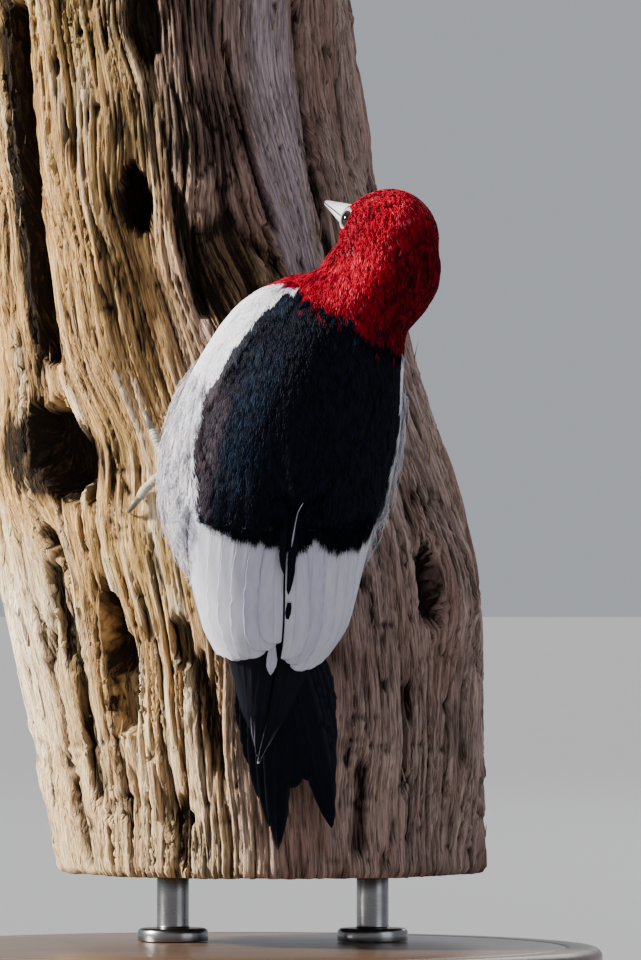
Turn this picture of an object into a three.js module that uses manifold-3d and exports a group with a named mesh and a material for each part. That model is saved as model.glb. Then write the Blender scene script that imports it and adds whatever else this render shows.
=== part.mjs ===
// A red-headed woodpecker clinging to a cut length of dead trunk, held up by two rods on a round base.
// Millimetres, +Z up. The bird is on the -Y side of the trunk and faces it; its right is +X.
// The origin is the middle of the base's underside.

import * as THREE from "three";
import Module from "manifold-3d";

const wasm = await Module();
wasm.setup();

// ---------------------------------------------------------------- driving sizes

const GAP = 0.35; // between two pieces that touch
const BED_GAP = 0.45; // between the curved floor of the back's hollow and what lies in it

const BASE = { radius: 112, height: 14, bevel: 2.5, foot: 1, sides: 42 };
const ROD = { radius: 5, collarRadius: 11, collarHeight: 4, sides: 16, across: 62 };

const TRUNK = { bottom: 36, top: 308, axisY: 36, sides: 66, rows: 24, frontCrowding: 0.3 };
const FLUTE = { depth: 1.5, ridges: 9, fineDepth: 0.7, fineRidges: 14, twist: 0.018 };

const BODY = { x: 11.7, y: -77, z: 169.4, lean: 14, yaw: 12 }; // degrees, of the body's own frame
const HEAD = { x: 44.5, y: -81, z: 230.5, yaw: 26, pitch: 18, roll: 14 };
const BODY_SIDES = 28;

const EYE = { radius: 3.4, out: 8.9, forward: 5.6, up: 0.9, turned: -3, lids: 2.5, oval: 1.06 };
const BILL = { base: 14.6, tip: 40, halfWidth: 5, culmen: 4.9, keel: 4.2, droop: -1.8, mouth: -1.4 };

const VANE = { thickness: 0.6, step: 0.9 }; // step is from one feather's face to the next one's

const THIGH_SIDES = 14;
const TOE_SIDES = 7;
const CLAW_SIDES = 6;
const TARSUS_RADIUS = 1.7;
const HEEL_RADIUS = 2.3;
const FOOT_RADIUS = 2.4;

// ---------------------------------------------------------------- small helpers

const deg = THREE.MathUtils.degToRad;
const lerp = THREE.MathUtils.lerp;
const smooth = THREE.MathUtils.smoothstep;
const vec = (x, y, z) => new THREE.Vector3(x, y, z);
const bump = (x) => Math.exp(-x * x);

// A smooth curve through stations [[position, value], ...], level beyond both ends.
function through(stations) {
  const last = stations.length - 1;
  const slopes = stations.map((_, i) => {
    const before = stations[Math.max(i - 1, 0)];
    const after = stations[Math.min(i + 1, last)];
    return (after[1] - before[1]) / (after[0] - before[0]);
  });
  return (x) => {
    if (x <= stations[0][0]) return stations[0][1];
    if (x >= stations[last][0]) return stations[last][1];
    const i = stations.findIndex((s) => s[0] > x) - 1;
    const [x0, y0] = stations[i];
    const [x1, y1] = stations[i + 1];
    const h = x1 - x0;
    const t = (x - x0) / h;
    const t2 = t * t;
    const t3 = t2 * t;
    const ends = (2 * t3 - 3 * t2 + 1) * y0 + (3 * t2 - 2 * t3) * y1;
    return ends + h * ((t3 - 2 * t2 + t) * slopes[i] + (t3 - t2) * slopes[i + 1]);
  };
}

// The same stations joined by straight lines.
function straight(stations) {
  return (x) => {
    const found = stations.findIndex((s) => s[0] > x);
    const i = found < 0 ? stations.length - 2 : Math.max(found - 1, 0);
    const [[x0, y0], [x1, y1]] = [stations[i], stations[i + 1]];
    return lerp(y0, y1, THREE.MathUtils.clamp((x - x0) / (x1 - x0), 0, 1));
  };
}

// A closed solid from its points and faces, turned so that its faces point outwards.
function solid(points, faces) {
  let volume = 0;
  for (const [a, b, c] of faces) volume += points[a].dot(vec(0, 0, 0).crossVectors(points[b], points[c]));
  const order = volume < 0 ? faces.map(([a, b, c]) => [a, c, b]) : faces;
  return new wasm.Manifold(
    new wasm.Mesh({
      numProp: 3,
      vertProperties: new Float32Array(points.flatMap((p) => [p.x, p.y, p.z])),
      triVerts: new Uint32Array(order.flat()),
    }),
  );
}

// Rings of equally many points, joined into a tube and closed by a fan at each end.
function loft(rings) {
  const n = rings[0].length;
  const points = rings.flat();
  const faces = [];
  for (let i = 0; i < rings.length - 1; i++) {
    for (let j = 0; j < n; j++) {
      const a = i * n + j;
      const b = i * n + ((j + 1) % n);
      faces.push([a, b, b + n], [a, b + n, a + n]);
    }
  }
  for (const end of [0, rings.length - 1]) {
    const middle = points.length;
    const centre = vec(0, 0, 0);
    for (const p of rings[end]) centre.addScaledVector(p, 1 / n);
    points.push(centre);
    for (let j = 0; j < n; j++) {
      const a = end * n + j;
      const b = end * n + ((j + 1) % n);
      faces.push(end ? [a, b, middle] : [b, a, middle]);
    }
  }
  return solid(points, faces);
}

// A round tube along points, with a radius at each. Flatten squeezes it along the first point's own up.
function tube(points, radii, sides, flatten = 1) {
  let up = vec(0, -1, 0);
  const rings = points.map((p, i) => {
    const ahead = points[Math.min(i + 1, points.length - 1)].clone();
    const along = ahead.sub(points[Math.max(i - 1, 0)]).normalize();
    up = up.clone().addScaledVector(along, -up.dot(along)).normalize();
    const across = vec(0, 0, 0).crossVectors(along, up);
    return Array.from({ length: sides }, (_, j) => {
      const turn = (2 * Math.PI * j) / sides;
      return p
        .clone()
        .addScaledVector(up, radii[i] * Math.cos(turn))
        .addScaledVector(across, radii[i] * flatten * Math.sin(turn));
    });
  });
  return loft(rings);
}

// A sheet given as rows of [outer point, inner point] pairs, closed round its edge, both faces split alike.
function thickSheet(rows) {
  const n = rows[0].length;
  const cells = rows.length * n;
  const points = [...rows.flat().map((pair) => pair[0]), ...rows.flat().map((pair) => pair[1])];
  const faces = [];
  for (let i = 0; i < rows.length - 1; i++) {
    for (let j = 0; j < n - 1; j++) {
      const a = i * n + j;
      for (const [p, q, r] of [[a, a + 1, a + n + 1], [a, a + n + 1, a + n]]) {
        faces.push([p, q, r], [p + cells, r + cells, q + cells]);
      }
    }
  }
  const rim = [];
  for (let j = 0; j < n; j++) rim.push(j);
  for (let i = 1; i < rows.length; i++) rim.push(i * n + n - 1);
  for (let j = n - 2; j >= 0; j--) rim.push((rows.length - 1) * n + j);
  for (let i = rows.length - 2; i > 0; i--) rim.push(i * n);
  rim.forEach((a, k) => {
    const b = rim[(k + 1) % rim.length];
    faces.push([b, a, a + cells], [b, a + cells, b + cells]);
  });
  return solid(points, faces);
}

// The largest closed surface of a solid, so that no loose scrap stays.
function largest(made) {
  return made.decompose().sort((a, b) => b.volume() - a.volume())[0];
}

function toGeometry(made) {
  const mesh = made.getMesh();
  const geometry = new THREE.BufferGeometry();
  geometry.setAttribute("position", new THREE.BufferAttribute(new Float32Array(mesh.vertProperties), 3));
  geometry.setIndex(new THREE.BufferAttribute(new Uint32Array(mesh.triVerts), 1));
  geometry.computeVertexNormals();
  return geometry;
}

function node(name, made, material) {
  const mesh = new THREE.Mesh(toGeometry(largest(made)), material);
  mesh.name = name;
  return mesh;
}

// ---------------------------------------------------------------- materials

const finish = (color, roughness, metalness = 0) =>
  new THREE.MeshStandardMaterial({ color, roughness, metalness });
const RED = finish(0xb3081c, 0.75);
const BLACK = finish(0x0c0f1a, 0.45);
const WHITE = finish(0xe9ecf2, 0.8);
const HORN = finish(0xc9cdd2, 0.35);
const CLAW_HORN = finish(0xd8cdb0, 0.4);
const EYE_GLOSS = finish(0x1a0d08, 0.08);
const SKIN = finish(0xb3aa8d, 0.65);
const WOOD = finish(0x8a6a47, 0.9);
const BASE_WOOD = finish(0x3a2a1e, 0.4);
const STEEL = finish(0x8f9296, 0.3, 1);

// ---------------------------------------------------------------- frames

const bird = new THREE.Group();
bird.position.set(BODY.x, BODY.y, BODY.z);
bird.rotation.set(deg(BODY.lean), 0, deg(BODY.yaw), "ZYX");
bird.updateMatrixWorld(true);

const headFrame = new THREE.Group();
headFrame.position.set(HEAD.x, HEAD.y, HEAD.z);
headFrame.rotation.set(deg(HEAD.pitch), deg(HEAD.roll), deg(HEAD.yaw), "ZXY");
headFrame.updateMatrixWorld(true);
const headTurn = headFrame.quaternion.clone();
bird.attach(headFrame);

const toBird = (p) => bird.worldToLocal(p.clone());
const headPoint = (x, y, z) => vec(x, y, z).applyMatrix4(headFrame.matrix);

// ---------------------------------------------------------------- trunk

const trunkX = through([[30, 11], [80, 7], [121, 1.5], [181, -12], [241, -23], [285, -28], [308, -29.5]]);
const trunkRadius = through([[30, 64.5], [80, 69], [121, 73.5], [150, 73], [181, 70], [241, 65], [285, 63], [308, 62.5]]);

// Knots and rotted hollows: turn from the front in degrees towards +X, height, half sizes and depth.
const HOLLOWS = [
  { turn: -7, z: 243, wide: 4.5, high: 9, depth: 13 },
  { turn: 1, z: 296, wide: 6, high: 10, depth: 6 },
  { turn: 17, z: 222, wide: 13, high: 17, depth: 6.5 },
  { turn: -39, z: 166, wide: 11, high: 14, depth: 15 },
  { turn: -34, z: 102, wide: 4.6, high: 20, depth: 11 },
  { turn: 53, z: 124, wide: 5, high: 13, depth: 9 },
  { turn: 118, z: 205, wide: 6, high: 16, depth: 11 },
  { turn: 165, z: 95, wide: 8, high: 20, depth: 9 },
  { turn: -128, z: 150, wide: 7, high: 26, depth: 8 },
];
const SWELLINGS = [
  { turn: -22, z: 205, wide: 12, high: 46, depth: -3.5 },
  { turn: 62, z: 124, wide: 14, high: 30, depth: -2 },
  { turn: 140, z: 170, wide: 15, high: 40, depth: -4 },
  { turn: -100, z: 75, wide: 16, high: 30, depth: -1.5 },
];
// Long cracks: turn at their middle, lower and upper end, half width, depth, and how far they slant over their length.
const CRACKS = [
  { turn: -38, low: 184, high: 312, wide: 5.5, depth: 7.5, slant: 2 },
  { turn: -47, low: 118, high: 152, wide: 3.6, depth: 3.5, slant: -9 },
  { turn: -12, low: 58, high: 114, wide: 3, depth: 3.5, slant: -1 },
  { turn: 6, low: 198, high: 256, wide: 3.2, depth: 4, slant: -3 },
  { turn: 28, low: 224, high: 300, wide: 3.2, depth: 3, slant: -10 },
  { turn: 48, low: 214, high: 312, wide: 3.2, depth: 4, slant: -2 },
  { turn: 25, low: 34, high: 82, wide: 3.4, depth: 3, slant: 3 },
  { turn: -24, low: 30, high: 70, wide: 3.2, depth: 2.8, slant: 2 },
  { turn: -62, low: 30, high: 128, wide: 3.8, depth: 3, slant: 4 },
  { turn: 40, low: 52, high: 104, wide: 3.4, depth: 2.8, slant: 4 },
  ...Array.from({ length: 18 }, (_, i) => ({
    turn: 70 + 14 * i + 3 * Math.sin(2.3 * i),
    low: 90 + 70 * Math.sin(1.7 * i),
    high: 215 + 75 * Math.cos(1.3 * i),
    wide: 4 + 0.8 * Math.sin(3.1 * i),
    depth: 3.1 + 0.7 * Math.cos(2.7 * i),
    slant: 5 * Math.sin(1.1 * i),
  })),
];
const CRACK_ENDS = 14; // over which a crack opens and closes

// Where the feet and the tail press on the bark, it is worn smooth.
const WORN = [{ turn: 4, z: 160, wide: 36, high: 26 }, { turn: 8, z: 58, wide: 20, high: 24 }];

// How open a crack is at a place: 1 along its middle and 0 beside it and past its ends.
function crackShare({ turn: middle, low, high, wide, slant }, turn, z, radius) {
  const at = deg(middle + slant * ((z - low) / (high - low) - 0.5));
  const away = Math.atan2(Math.sin(turn - at), Math.cos(turn - at));
  const open = smooth(z, low, low + CRACK_ENDS) * (1 - smooth(z, high - CRACK_ENDS, high));
  return open * bump((away * radius) / wide);
}

function barkRadius(turn, z) {
  const radius = trunkRadius(z);
  const reach = (place) => {
    const away = Math.atan2(Math.sin(turn - deg(place.turn)), Math.cos(turn - deg(place.turn)));
    return bump((away * radius) / place.wide) * bump((z - place.z) / place.high);
  };
  const worn = WORN.reduce((sum, place) => sum + reach(place), 0);
  const flute =
    FLUTE.depth * Math.cos(FLUTE.ridges * turn + FLUTE.twist * z) +
    FLUTE.fineDepth * Math.cos(FLUTE.fineRidges * turn - FLUTE.twist * 2 * z);
  const dents = [...HOLLOWS, ...SWELLINGS].reduce((sum, place) => sum + place.depth * reach(place), 0);
  const cracks = CRACKS.reduce((sum, crack) => sum + crack.depth * crackShare(crack, turn, z, radius), 0);
  return radius + flute * (1 - Math.min(worn, 1)) - (dents + cracks) * (1 - 0.9 * Math.min(worn, 1));
}

function barkAt(turn, z) {
  const radius = barkRadius(turn, z);
  return vec(trunkX(z) + radius * Math.sin(turn), TRUNK.axisY - radius * Math.cos(turn), z);
}

// The bark in front of a point: the same across and height, a lift out from the surface.
function onBark(x, z, lift = 0) {
  let turn = 0;
  for (let i = 0; i < 12; i++) {
    turn = Math.asin(THREE.MathUtils.clamp((x - trunkX(z)) / barkRadius(turn, z), -1, 1));
  }
  const out = vec(Math.sin(turn), -Math.cos(turn), 0);
  return barkAt(turn, z).addScaledVector(out, lift);
}

function makeTrunk() {
  const rings = [];
  for (let i = 0; i <= TRUNK.rows; i++) {
    const z = lerp(TRUNK.bottom, TRUNK.top, i / TRUNK.rows);
    rings.push(
      Array.from({ length: TRUNK.sides }, (_, j) => {
        const even = Math.PI * ((2 * j) / TRUNK.sides - 1);
        return barkAt(even - TRUNK.frontCrowding * Math.sin(even), z);
      }),
    );
  }
  return loft(rings);
}

// ---------------------------------------------------------------- body

// The outer face of the back, folded wings and belly, in the body's frame, by height: how far its middle has
// moved to the right, half width, and depth from the middle to the back and to the belly.
const midX = through([
  [-103, -1], [-97, -0.4], [-88, 0.8], [-80, 1.4], [-70, 2.2], [-60, 2.6], [-50, 2.1], [-40, 1.2],
  [-30, 0.6], [-20, 0.6], [-10, 1.4], [0, 2.6], [10, 4.1], [20, 6], [30, 8.8], [40, 12], [48, 14.8],
]);
const backWidth = through([
  [-103, 1.8], [-97, 3.2], [-88, 7], [-80, 10.3], [-70, 15.6], [-65, 18.4], [-58, 22.8], [-50, 26.3],
  [-40, 30], [-30, 32.8], [-20, 34.8], [-10, 35.4], [0, 35.4], [10, 34.2], [20, 32], [30, 29.4],
  [38, 26], [43, 22], [48, 14],
]);
const backDepth = through([
  [-103, 1.5], [-88, 4.5], [-70, 10], [-52, 17], [-34, 23], [-15, 26],
  [0, 26.5], [20, 25], [34, 22], [43, 18], [48, 12],
]);
const bellyDepth = through([
  [-58, 18], [-52, 20.2], [-44, 21.6], [-30, 22], [-15, 24.8], [0, 27],
  [20, 27.5], [34, 25], [43, 20], [48, 13],
]);

// The hollow over the back that the wings and the mantle lie in: height, degrees round from the spine to the
// left and to the right, depth.
const BED = [
  [-64, 90, 90, 8.6], [-58, 87, 89, 8.4], [-50, 83, 87, 8.2], [-42, 77, 85, 8],
  [-34, 70, 82, 7.9], [-26, 64.5, 79, 7.7], [-18, 61, 76, 7.3], [-10, 59, 74, 6.8],
  [-2, 58.5, 72, 6.1], [6, 60, 71, 5.5], [14, 62, 70, 5.2], [22, 61.5, 69, 4.9],
  [30, 60.5, 67, 4.6], [38, 61.5, 65, 4.2], [46, 62, 62, 3.3], [54, 60, 58, 3],
];
const bedLeft = straight(BED.map(([z, left]) => [z, left]));
const bedRight = straight(BED.map(([z, , right]) => [z, right]));
const bedDepth = straight(BED.map(([z, , , depth]) => [z, depth]));
const mantleEdge = through([[-16, 0], [0, 7], [20, 20], [44, 31]]);

// A point round the body: height, turn from the spine (positive to the right), and how far below the face.
function bodyPoint(z, turn, depth) {
  const front = Math.max(0, -Math.cos(turn));
  const back = Math.max(0, Math.cos(turn));
  const y = front * (bellyDepth(z) - depth) - back * (backDepth(z) - depth);
  return vec(midX(z) + (backWidth(z) - depth) * Math.sin(turn), y, z);
}

// Degrees that a distance takes up round the back.
function degreesFor(distance, z, turn) {
  const metric = Math.hypot(backWidth(z) * Math.cos(deg(turn)), backDepth(z) * Math.sin(deg(turn)));
  return THREE.MathUtils.radToDeg(distance / metric);
}

// How far the body itself lies inside that outer face: it narrows to the rump within the folded wings.
const rumpInset = through([[-58, 11.5], [-52, 8], [-44, 4.8], [-34, 2.4], [-26, 1.2], [-16, 0.3], [-8, 0]]);

const TORSO_HEIGHTS = [-58, -52, -45, -37, -29, -22, -15, -7, 2, 11, 19, 26, 33, 38.5, 43, 46.5, 48.5];

function makeTorso(grow = 0) {
  return loft(
    TORSO_HEIGHTS.map((height, i) =>
      Array.from({ length: BODY_SIDES }, (_, j) => {
        const turn = (2 * Math.PI * j) / BODY_SIDES;
        const z = i ? height : height - grow;
        return bodyPoint(z, turn > Math.PI ? turn - 2 * Math.PI : turn, rumpInset(z) - grow);
      }),
    ),
  );
}

// A plate over the back between two turns, as rows of [height, from, to, outer depth, inner depth].
function backPlate(rows, columns) {
  return thickSheet(
    rows.map(([z, from, to, outer, inner]) =>
      Array.from({ length: columns }, (_, j) => {
        const turn = deg(lerp(from, to, j / (columns - 1)));
        return [bodyPoint(z, turn, outer), bodyPoint(z, turn, inner)];
      }),
    ),
  );
}

const BED_COLUMNS = 17;
const ABOVE_BACK = 4; // how far the cutter for the hollow stands out of the back
function makeBed() {
  return backPlate(BED.map(([z, left, right, depth]) => [z, -left, right, -ABOVE_BACK, depth]), BED_COLUMNS);
}

// How deep the folded wings reach behind the body, where the tail keeps out of their way.
const UNDER_WINGS = [[-90, 2.8], [-82, 3.2], [-74, 4.9], [-66, 5.8], [-58, 7.2], [-50, 7.6], [-44, 8]];
const underWings = straight(UNDER_WINGS);
const WING_ROOM_COLUMNS = 13;
function makeWingRoom() {
  return backPlate(UNDER_WINGS.map(([z, depth]) => [z, -90, 90, -GAP, depth]), WING_ROOM_COLUMNS);
}

// The black back between the two wings, from the neck down to a point.
const MANTLE_TIP = 0.5; // half angle at its lower end
const MANTLE_ROWS = [-13, -10, -2, 6, 14, 22, 30, 38, 46];
function makeMantle() {
  return backPlate(
    MANTLE_ROWS.map((z) => {
      const edge = Math.max(mantleEdge(z), MANTLE_TIP);
      return [z, -edge, edge, 0, bedDepth(z) - BED_GAP];
    }),
    7,
  );
}

// Slices of the neck: middle, half across, half fore and aft, and how far the slice tips down to the right.
const NECK = [
  { x: 27.5, y: -79.5, z: 199, across: 20, deep: 20, tip: 32 },
  { x: 32.3, y: -80.8, z: 208, across: 19.2, deep: 19.4, tip: 24 },
  { x: 38, y: -80.8, z: 212.8, across: 19, deep: 18.4, tip: 15 },
  { x: 42.4, y: -80.3, z: 217.5, across: 18.1, deep: 17.8, tip: 8 },
  { x: 44.4, y: -81.4, z: 222.5, across: 16.8, deep: 16.2, tip: 3 },
  { x: 45.6, y: -84.6, z: 228.5, across: 13.8, deep: 12, tip: 1 },
  { x: 46, y: -86, z: 233, across: 10, deep: 8, tip: 0 },
];
const NECK_SIDES = 24;

function makeNeck(grow = 0) {
  return loft(
    NECK.map(({ x, y, z, across, deep, tip }, i) =>
      Array.from({ length: NECK_SIDES }, (_, j) => {
        const turn = (2 * Math.PI * j) / NECK_SIDES;
        const side = (across + grow) * Math.cos(turn);
        const fore = (deep + grow) * Math.sin(turn);
        const down = i ? 0 : grow;
        const place = vec(x + side * Math.cos(deg(tip)), y + fore, z - side * Math.sin(deg(tip)));
        return toBird(place.sub(vec(down, 0, down)));
      }),
    ),
  );
}

// The throat, from the chin down to the front of the neck: middle and radius.
const THROAT = [
  { x: 38.2, y: -71.5, z: 229.5, radius: 5.5 },
  { x: 37.4, y: -72, z: 224.6, radius: 9.2 },
  { x: 36.4, y: -73.6, z: 219.4, radius: 10.8 },
  { x: 34, y: -76, z: 213, radius: 12 },
];
function makeThroat() {
  const line = THROAT.map(({ x, y, z }) => toBird(vec(x, y, z)));
  return tube(line, THROAT.map(({ radius }) => radius), THIGH_SIDES);
}

// Skull with its feathers: half width, height of crown and depth of throat, from the nape to the bill.
const skullWidth = through([
  [-17.5, 2], [-15.5, 8], [-11, 12.4], [-5, 14.3], [-1, 13.8], [3, 12.4], [6, 11.6], [8.5, 10.9], [11, 9.4],
  [14, 6.8], [16, 5.2],
]);
const skullTop = through([
  [-17.5, 2], [-15.5, 8.4], [-11, 12.6], [-5, 14.6], [1, 14.4], [6, 12.2], [10, 9], [13, 5.8], [16, 3.4],
]);
const skullThroat = through([
  [-17.5, 2], [-15.5, 8], [-11, 13], [-5, 16], [1, 16], [6, 14], [10, 11.5], [13, 8.8], [16, 6.2],
]);
const SKULL_STATIONS = [-17.5, -15.5, -12.5, -9, -5, -1, 3, 6.5, 9.5, 12, 14, 16];
const SKULL_SIDES = 28;

function makeSkull() {
  const rings = SKULL_STATIONS.map((y) =>
    Array.from({ length: SKULL_SIDES }, (_, j) => {
      const turn = (2 * Math.PI * j) / SKULL_SIDES;
      const rise = Math.cos(turn);
      return headPoint(skullWidth(y) * Math.sin(turn), y, rise * (rise > 0 ? skullTop(y) : skullThroat(y)));
    }),
  );
  return loft(rings);
}

const EYE_SIDES = 12;
const EYE_ROWS = 8;
const eyeCentre = (side) => headPoint(side * EYE.out, EYE.forward, EYE.up);
const sphereAt = (centre, radius) => ball(radius, EYE_SIDES, EYE_ROWS).translate(centre.toArray());

function ball(radius, around, rows) {
  const rings = [];
  for (let i = 1; i < rows; i++) {
    const lift = (Math.PI * i) / rows;
    rings.push(
      Array.from({ length: around }, (_, j) => {
        const turn = (2 * Math.PI * j) / around;
        const flat = radius * Math.sin(lift);
        return vec(flat * Math.cos(turn), flat * Math.sin(turn), radius * Math.cos(lift));
      }),
    );
  }
  return loft(rings);
}

// The skin round the eye, as a blunt cone: distance along the eye's axis from its middle, and radius.
const ORBIT = [[-3, 5.2], [0.2, 5], [1.4, 4.3], [2.2, 3.6], [EYE.lids, 3.1]];
const ORBIT_SIDES = 18;
function makeOrbit(side) {
  const turned = deg(EYE.turned);
  return loft(
    ORBIT.map(([along, radius]) =>
      Array.from({ length: ORBIT_SIDES }, (_, j) => {
        const turn = (2 * Math.PI * j) / ORBIT_SIDES;
        const forward = EYE.oval * radius * Math.cos(turn);
        return headPoint(
          side * (EYE.out + along * Math.cos(turned) - forward * Math.sin(turned)),
          EYE.forward + along * Math.sin(turned) + forward * Math.cos(turned),
          EYE.up + radius * Math.sin(turn),
        );
      }),
    ),
  );
}

// The bill: a straight chisel with a ridge along its culmen. Grow widens it for the socket in the face.
const BILL_STATIONS = [-5, 0, 5, 11, 17, 21.5, BILL.tip - BILL.base]; // along it, from the face
const BILL_SIDES = 12;
const BILL_TIP = { half: 0.9, top: 0.7, bottom: 0.55 };
const CULMEN_RIDGE = 0.1;
function makeBill(grow = 0) {
  const rings = BILL_STATIONS.map((along) => {
    const t = Math.max(0, along) / (BILL.tip - BILL.base);
    const half = lerp(BILL.halfWidth, BILL_TIP.half, t ** 0.9) + grow;
    const top = lerp(BILL.culmen, BILL_TIP.top, t ** 1.15) + grow;
    const bottom = lerp(BILL.keel, BILL_TIP.bottom, t) + grow;
    const y = BILL.base + along + (t === 1 ? grow : 0) - (along < 0 ? grow : 0);
    const z = lerp(BILL.mouth, BILL.droop, t);
    return Array.from({ length: BILL_SIDES }, (_, j) => {
      const turn = (2 * Math.PI * j) / BILL_SIDES;
      const rise = Math.cos(turn);
      const ridge = j ? 1 : 1 + CULMEN_RIDGE;
      return headPoint(half * Math.sin(turn), y, z + rise * ridge * (rise > 0 ? top : bottom));
    });
  });
  return loft(rings);
}

// A nostril's slot in the side of the upper bill, in the head's frame.
const NOSTRIL = { inner: 1.9, outer: 5, start: 2.2, end: 4.8, low: 1.5, high: 2.3 };
function makeNostril(side) {
  const { inner, outer, low, high } = NOSTRIL;
  const corners = [[inner, low], [outer, low], [outer, high], [inner, high]];
  const ring = (y) => corners.map(([x, z]) => headPoint(side * x, BILL.base + y, BILL.mouth + z));
  return loft([ring(NOSTRIL.start), ring(NOSTRIL.end)]);
}

// A thin cut across the flesh: the two sides of a plane, with the gap between them.
function partAt(flesh, { at, normal }) {
  const n = toBird(normal.clone().add(bird.position)).normalize();
  const offset = n.dot(toBird(at));
  return {
    above: flesh.trimByPlane([n.x, n.y, n.z], offset + GAP / 2),
    below: flesh.trimByPlane([-n.x, -n.y, -n.z], -(offset - GAP / 2)),
  };
}

// ---------------------------------------------------------------- feathers

// Share of the width along a feather, from root to tip.
const ROUNDED = [[0, 0.72], [0.35, 0.95], [0.68, 1], [0.9, 0.72], [1, 0.28]];
const POINTED = [[0, 0.72], [0.35, 1], [0.66, 0.9], [0.87, 0.55], [1, 0.1]];

// One vane. place(along, across, offset, depth) puts a point on the sheet it lies in. It leans by so much
// from its open edge down to its covered one, and its root sinks into what carries it.
function vane(place, { root, tip, half, depth, lean, sink, outline, covered }) {
  const rows = outline.map(([t, share]) =>
    [-1, 0, 1].map((v) => {
      const along = lerp(root.along, tip.along, v ? 0.96 * t : t);
      const across = lerp(root.across, tip.across, t);
      const sunk = depth(along) + (lean * (1 + v * covered)) / 2 + sink * (1 - smooth(t, 0, 0.3));
      const offset = v * half * share;
      return [place(along, across, offset, sunk), place(along, across, offset, sunk + VANE.thickness)];
    }),
  );
  return thickSheet(rows);
}

// ---------------------------------------------------------------- wings

// A point on a folded wing, by height and share of the way from its outer edge (0) to the spine (1).
function wingPlace(side) {
  const bedEdge = side < 0 ? bedLeft : bedRight;
  return (z, share, offset, depth) => {
    const inner = Math.max(mantleEdge(z), 0) + degreesFor(0.35 + GAP * smooth(z, -16, -12), z, 0);
    const outer = bedEdge(z) - degreesFor(2 * GAP, z, bedEdge(z));
    const turn = lerp(outer, inner, share);
    const moved = THREE.MathUtils.clamp(turn - degreesFor(offset, z, turn), inner, outer);
    const point = bodyPoint(z, deg(moved), depth);
    point.x = midX(z) + side * Math.max(point.x - midX(z), 0.6 * GAP);
    return point;
  };
}

// The arm and shoulder under their small coverts and, below a step, the closed primaries: tops by height.
const WHITE_START = -22; // where the white feathers come out from under the coverts
const ARM_TOP = through([[-22, 3.1], [-6, 1.3], [10, 0.1], [46, 0.1]]);
const STACK_TOP = 5.55;
const ARM_ROWS = [46, 38, 30, 22, 14, 6, -2, -10, -16, WHITE_START];
const STACK_ROWS = [WHITE_START - 0.05, -34, -46, -57];
const WING_COLUMNS = 7;
function wingSheet(place, rows, inmost) {
  return thickSheet(
    rows.map(([z, top, under]) =>
      Array.from({ length: WING_COLUMNS }, (_, j) => {
        const share = (inmost(z) * j) / (WING_COLUMNS - 1);
        return [place(z, share, 0, top), place(z, share, 0, under)];
      }),
    ),
  );
}

function wingCore(place) {
  const under = (z) => (z > -42 ? bedDepth(z) : underWings(z)) - BED_GAP;
  const arm = ARM_ROWS.map((z) => [z, ARM_TOP(z), under(z)]);
  const stack = STACK_ROWS.map((z) => [z, STACK_TOP, under(z)]);
  return wingSheet(place, [...arm, ...stack], (z) => lerp(1, 0.9, smooth(-z, 20, 37)));
}

// Heights of the feathers' tips, from the outer edge to the spine.
const COVERTS = {
  count: 7, half: 4.7, root: (tip) => tip + 24, depth: () => 0.05, lean: 1.65, sink: 1.4, outline: ROUNDED,
  left: through([[0, -16.5], [0.12, -23], [0.35, -26.5], [0.7, -28], [0.9, -30], [1, -37]]),
  right: through([[0, -31.5], [0.3, -31.5], [0.55, -31], [0.7, -27.5], [0.88, -31], [1, -38]]),
};
const whiteDepth = through([[-70, 0.05], [-60, 0.4], [-48, 1.7], [-38, 2.65], [-22, 2.65]]);
const SECONDARIES = {
  count: 6, half: 5.8, root: () => WHITE_START - GAP, depth: whiteDepth, lean: 1.8, sink: 0, outline: ROUNDED,
  left: through([[0, -65.5], [0.3, -66.8], [0.6, -66], [0.85, -63], [1, -60]]),
  right: through([[0, -60], [0.3, -66.5], [0.6, -69.5], [0.8, -68], [1, -65]]),
};
const primaryDepth = through([[-84, 0.6], [-76, 2], [-70, 3.1], [-60, 4.6], [-50, 5.6], [-14, 5.6]]);
const PRIMARIES = {
  count: 5, half: 4.6, root: () => -30, depth: primaryDepth, lean: 0.8, sink: 0, outline: POINTED,
  left: through([[0, -80], [0.35, -88], [0.7, -95], [1, -98]]),
  right: through([[0, -79], [0.35, -88], [0.7, -97], [1, -101]]),
};

function makeTier(place, side, tier) {
  const tips = side < 0 ? tier.left : tier.right;
  return Array.from({ length: tier.count }, (_, i) => {
    const share = i / (tier.count - 1);
    const across = lerp(0.06, 0.93, share);
    const tip = { along: tips(share), across };
    const root = { along: tier.root(tip.along), across };
    return vane(place, { ...tier, root, tip, covered: 1 });
  });
}

function makeWing(side) {
  const place = wingPlace(side);
  return wasm.Manifold.union([
    wingCore(place),
    ...makeTier(place, side, COVERTS),
    ...makeTier(place, side, PRIMARIES),
  ]);
}

// The white feathers, joined at their roots by a plate between the coverts and the closed primaries.
const WHITE_PLATE = [WHITE_START - GAP, -30, -38, -46];
function makeSecondaries(side) {
  const place = wingPlace(side);
  const rows = WHITE_PLATE.map((z) => [z, whiteDepth(z) + 0.5, whiteDepth(z) + 2.4]);
  return wasm.Manifold.union([wingSheet(place, rows, () => 0.96), ...makeTier(place, side, SECONDARIES)]);
}

// ---------------------------------------------------------------- tail

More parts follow.
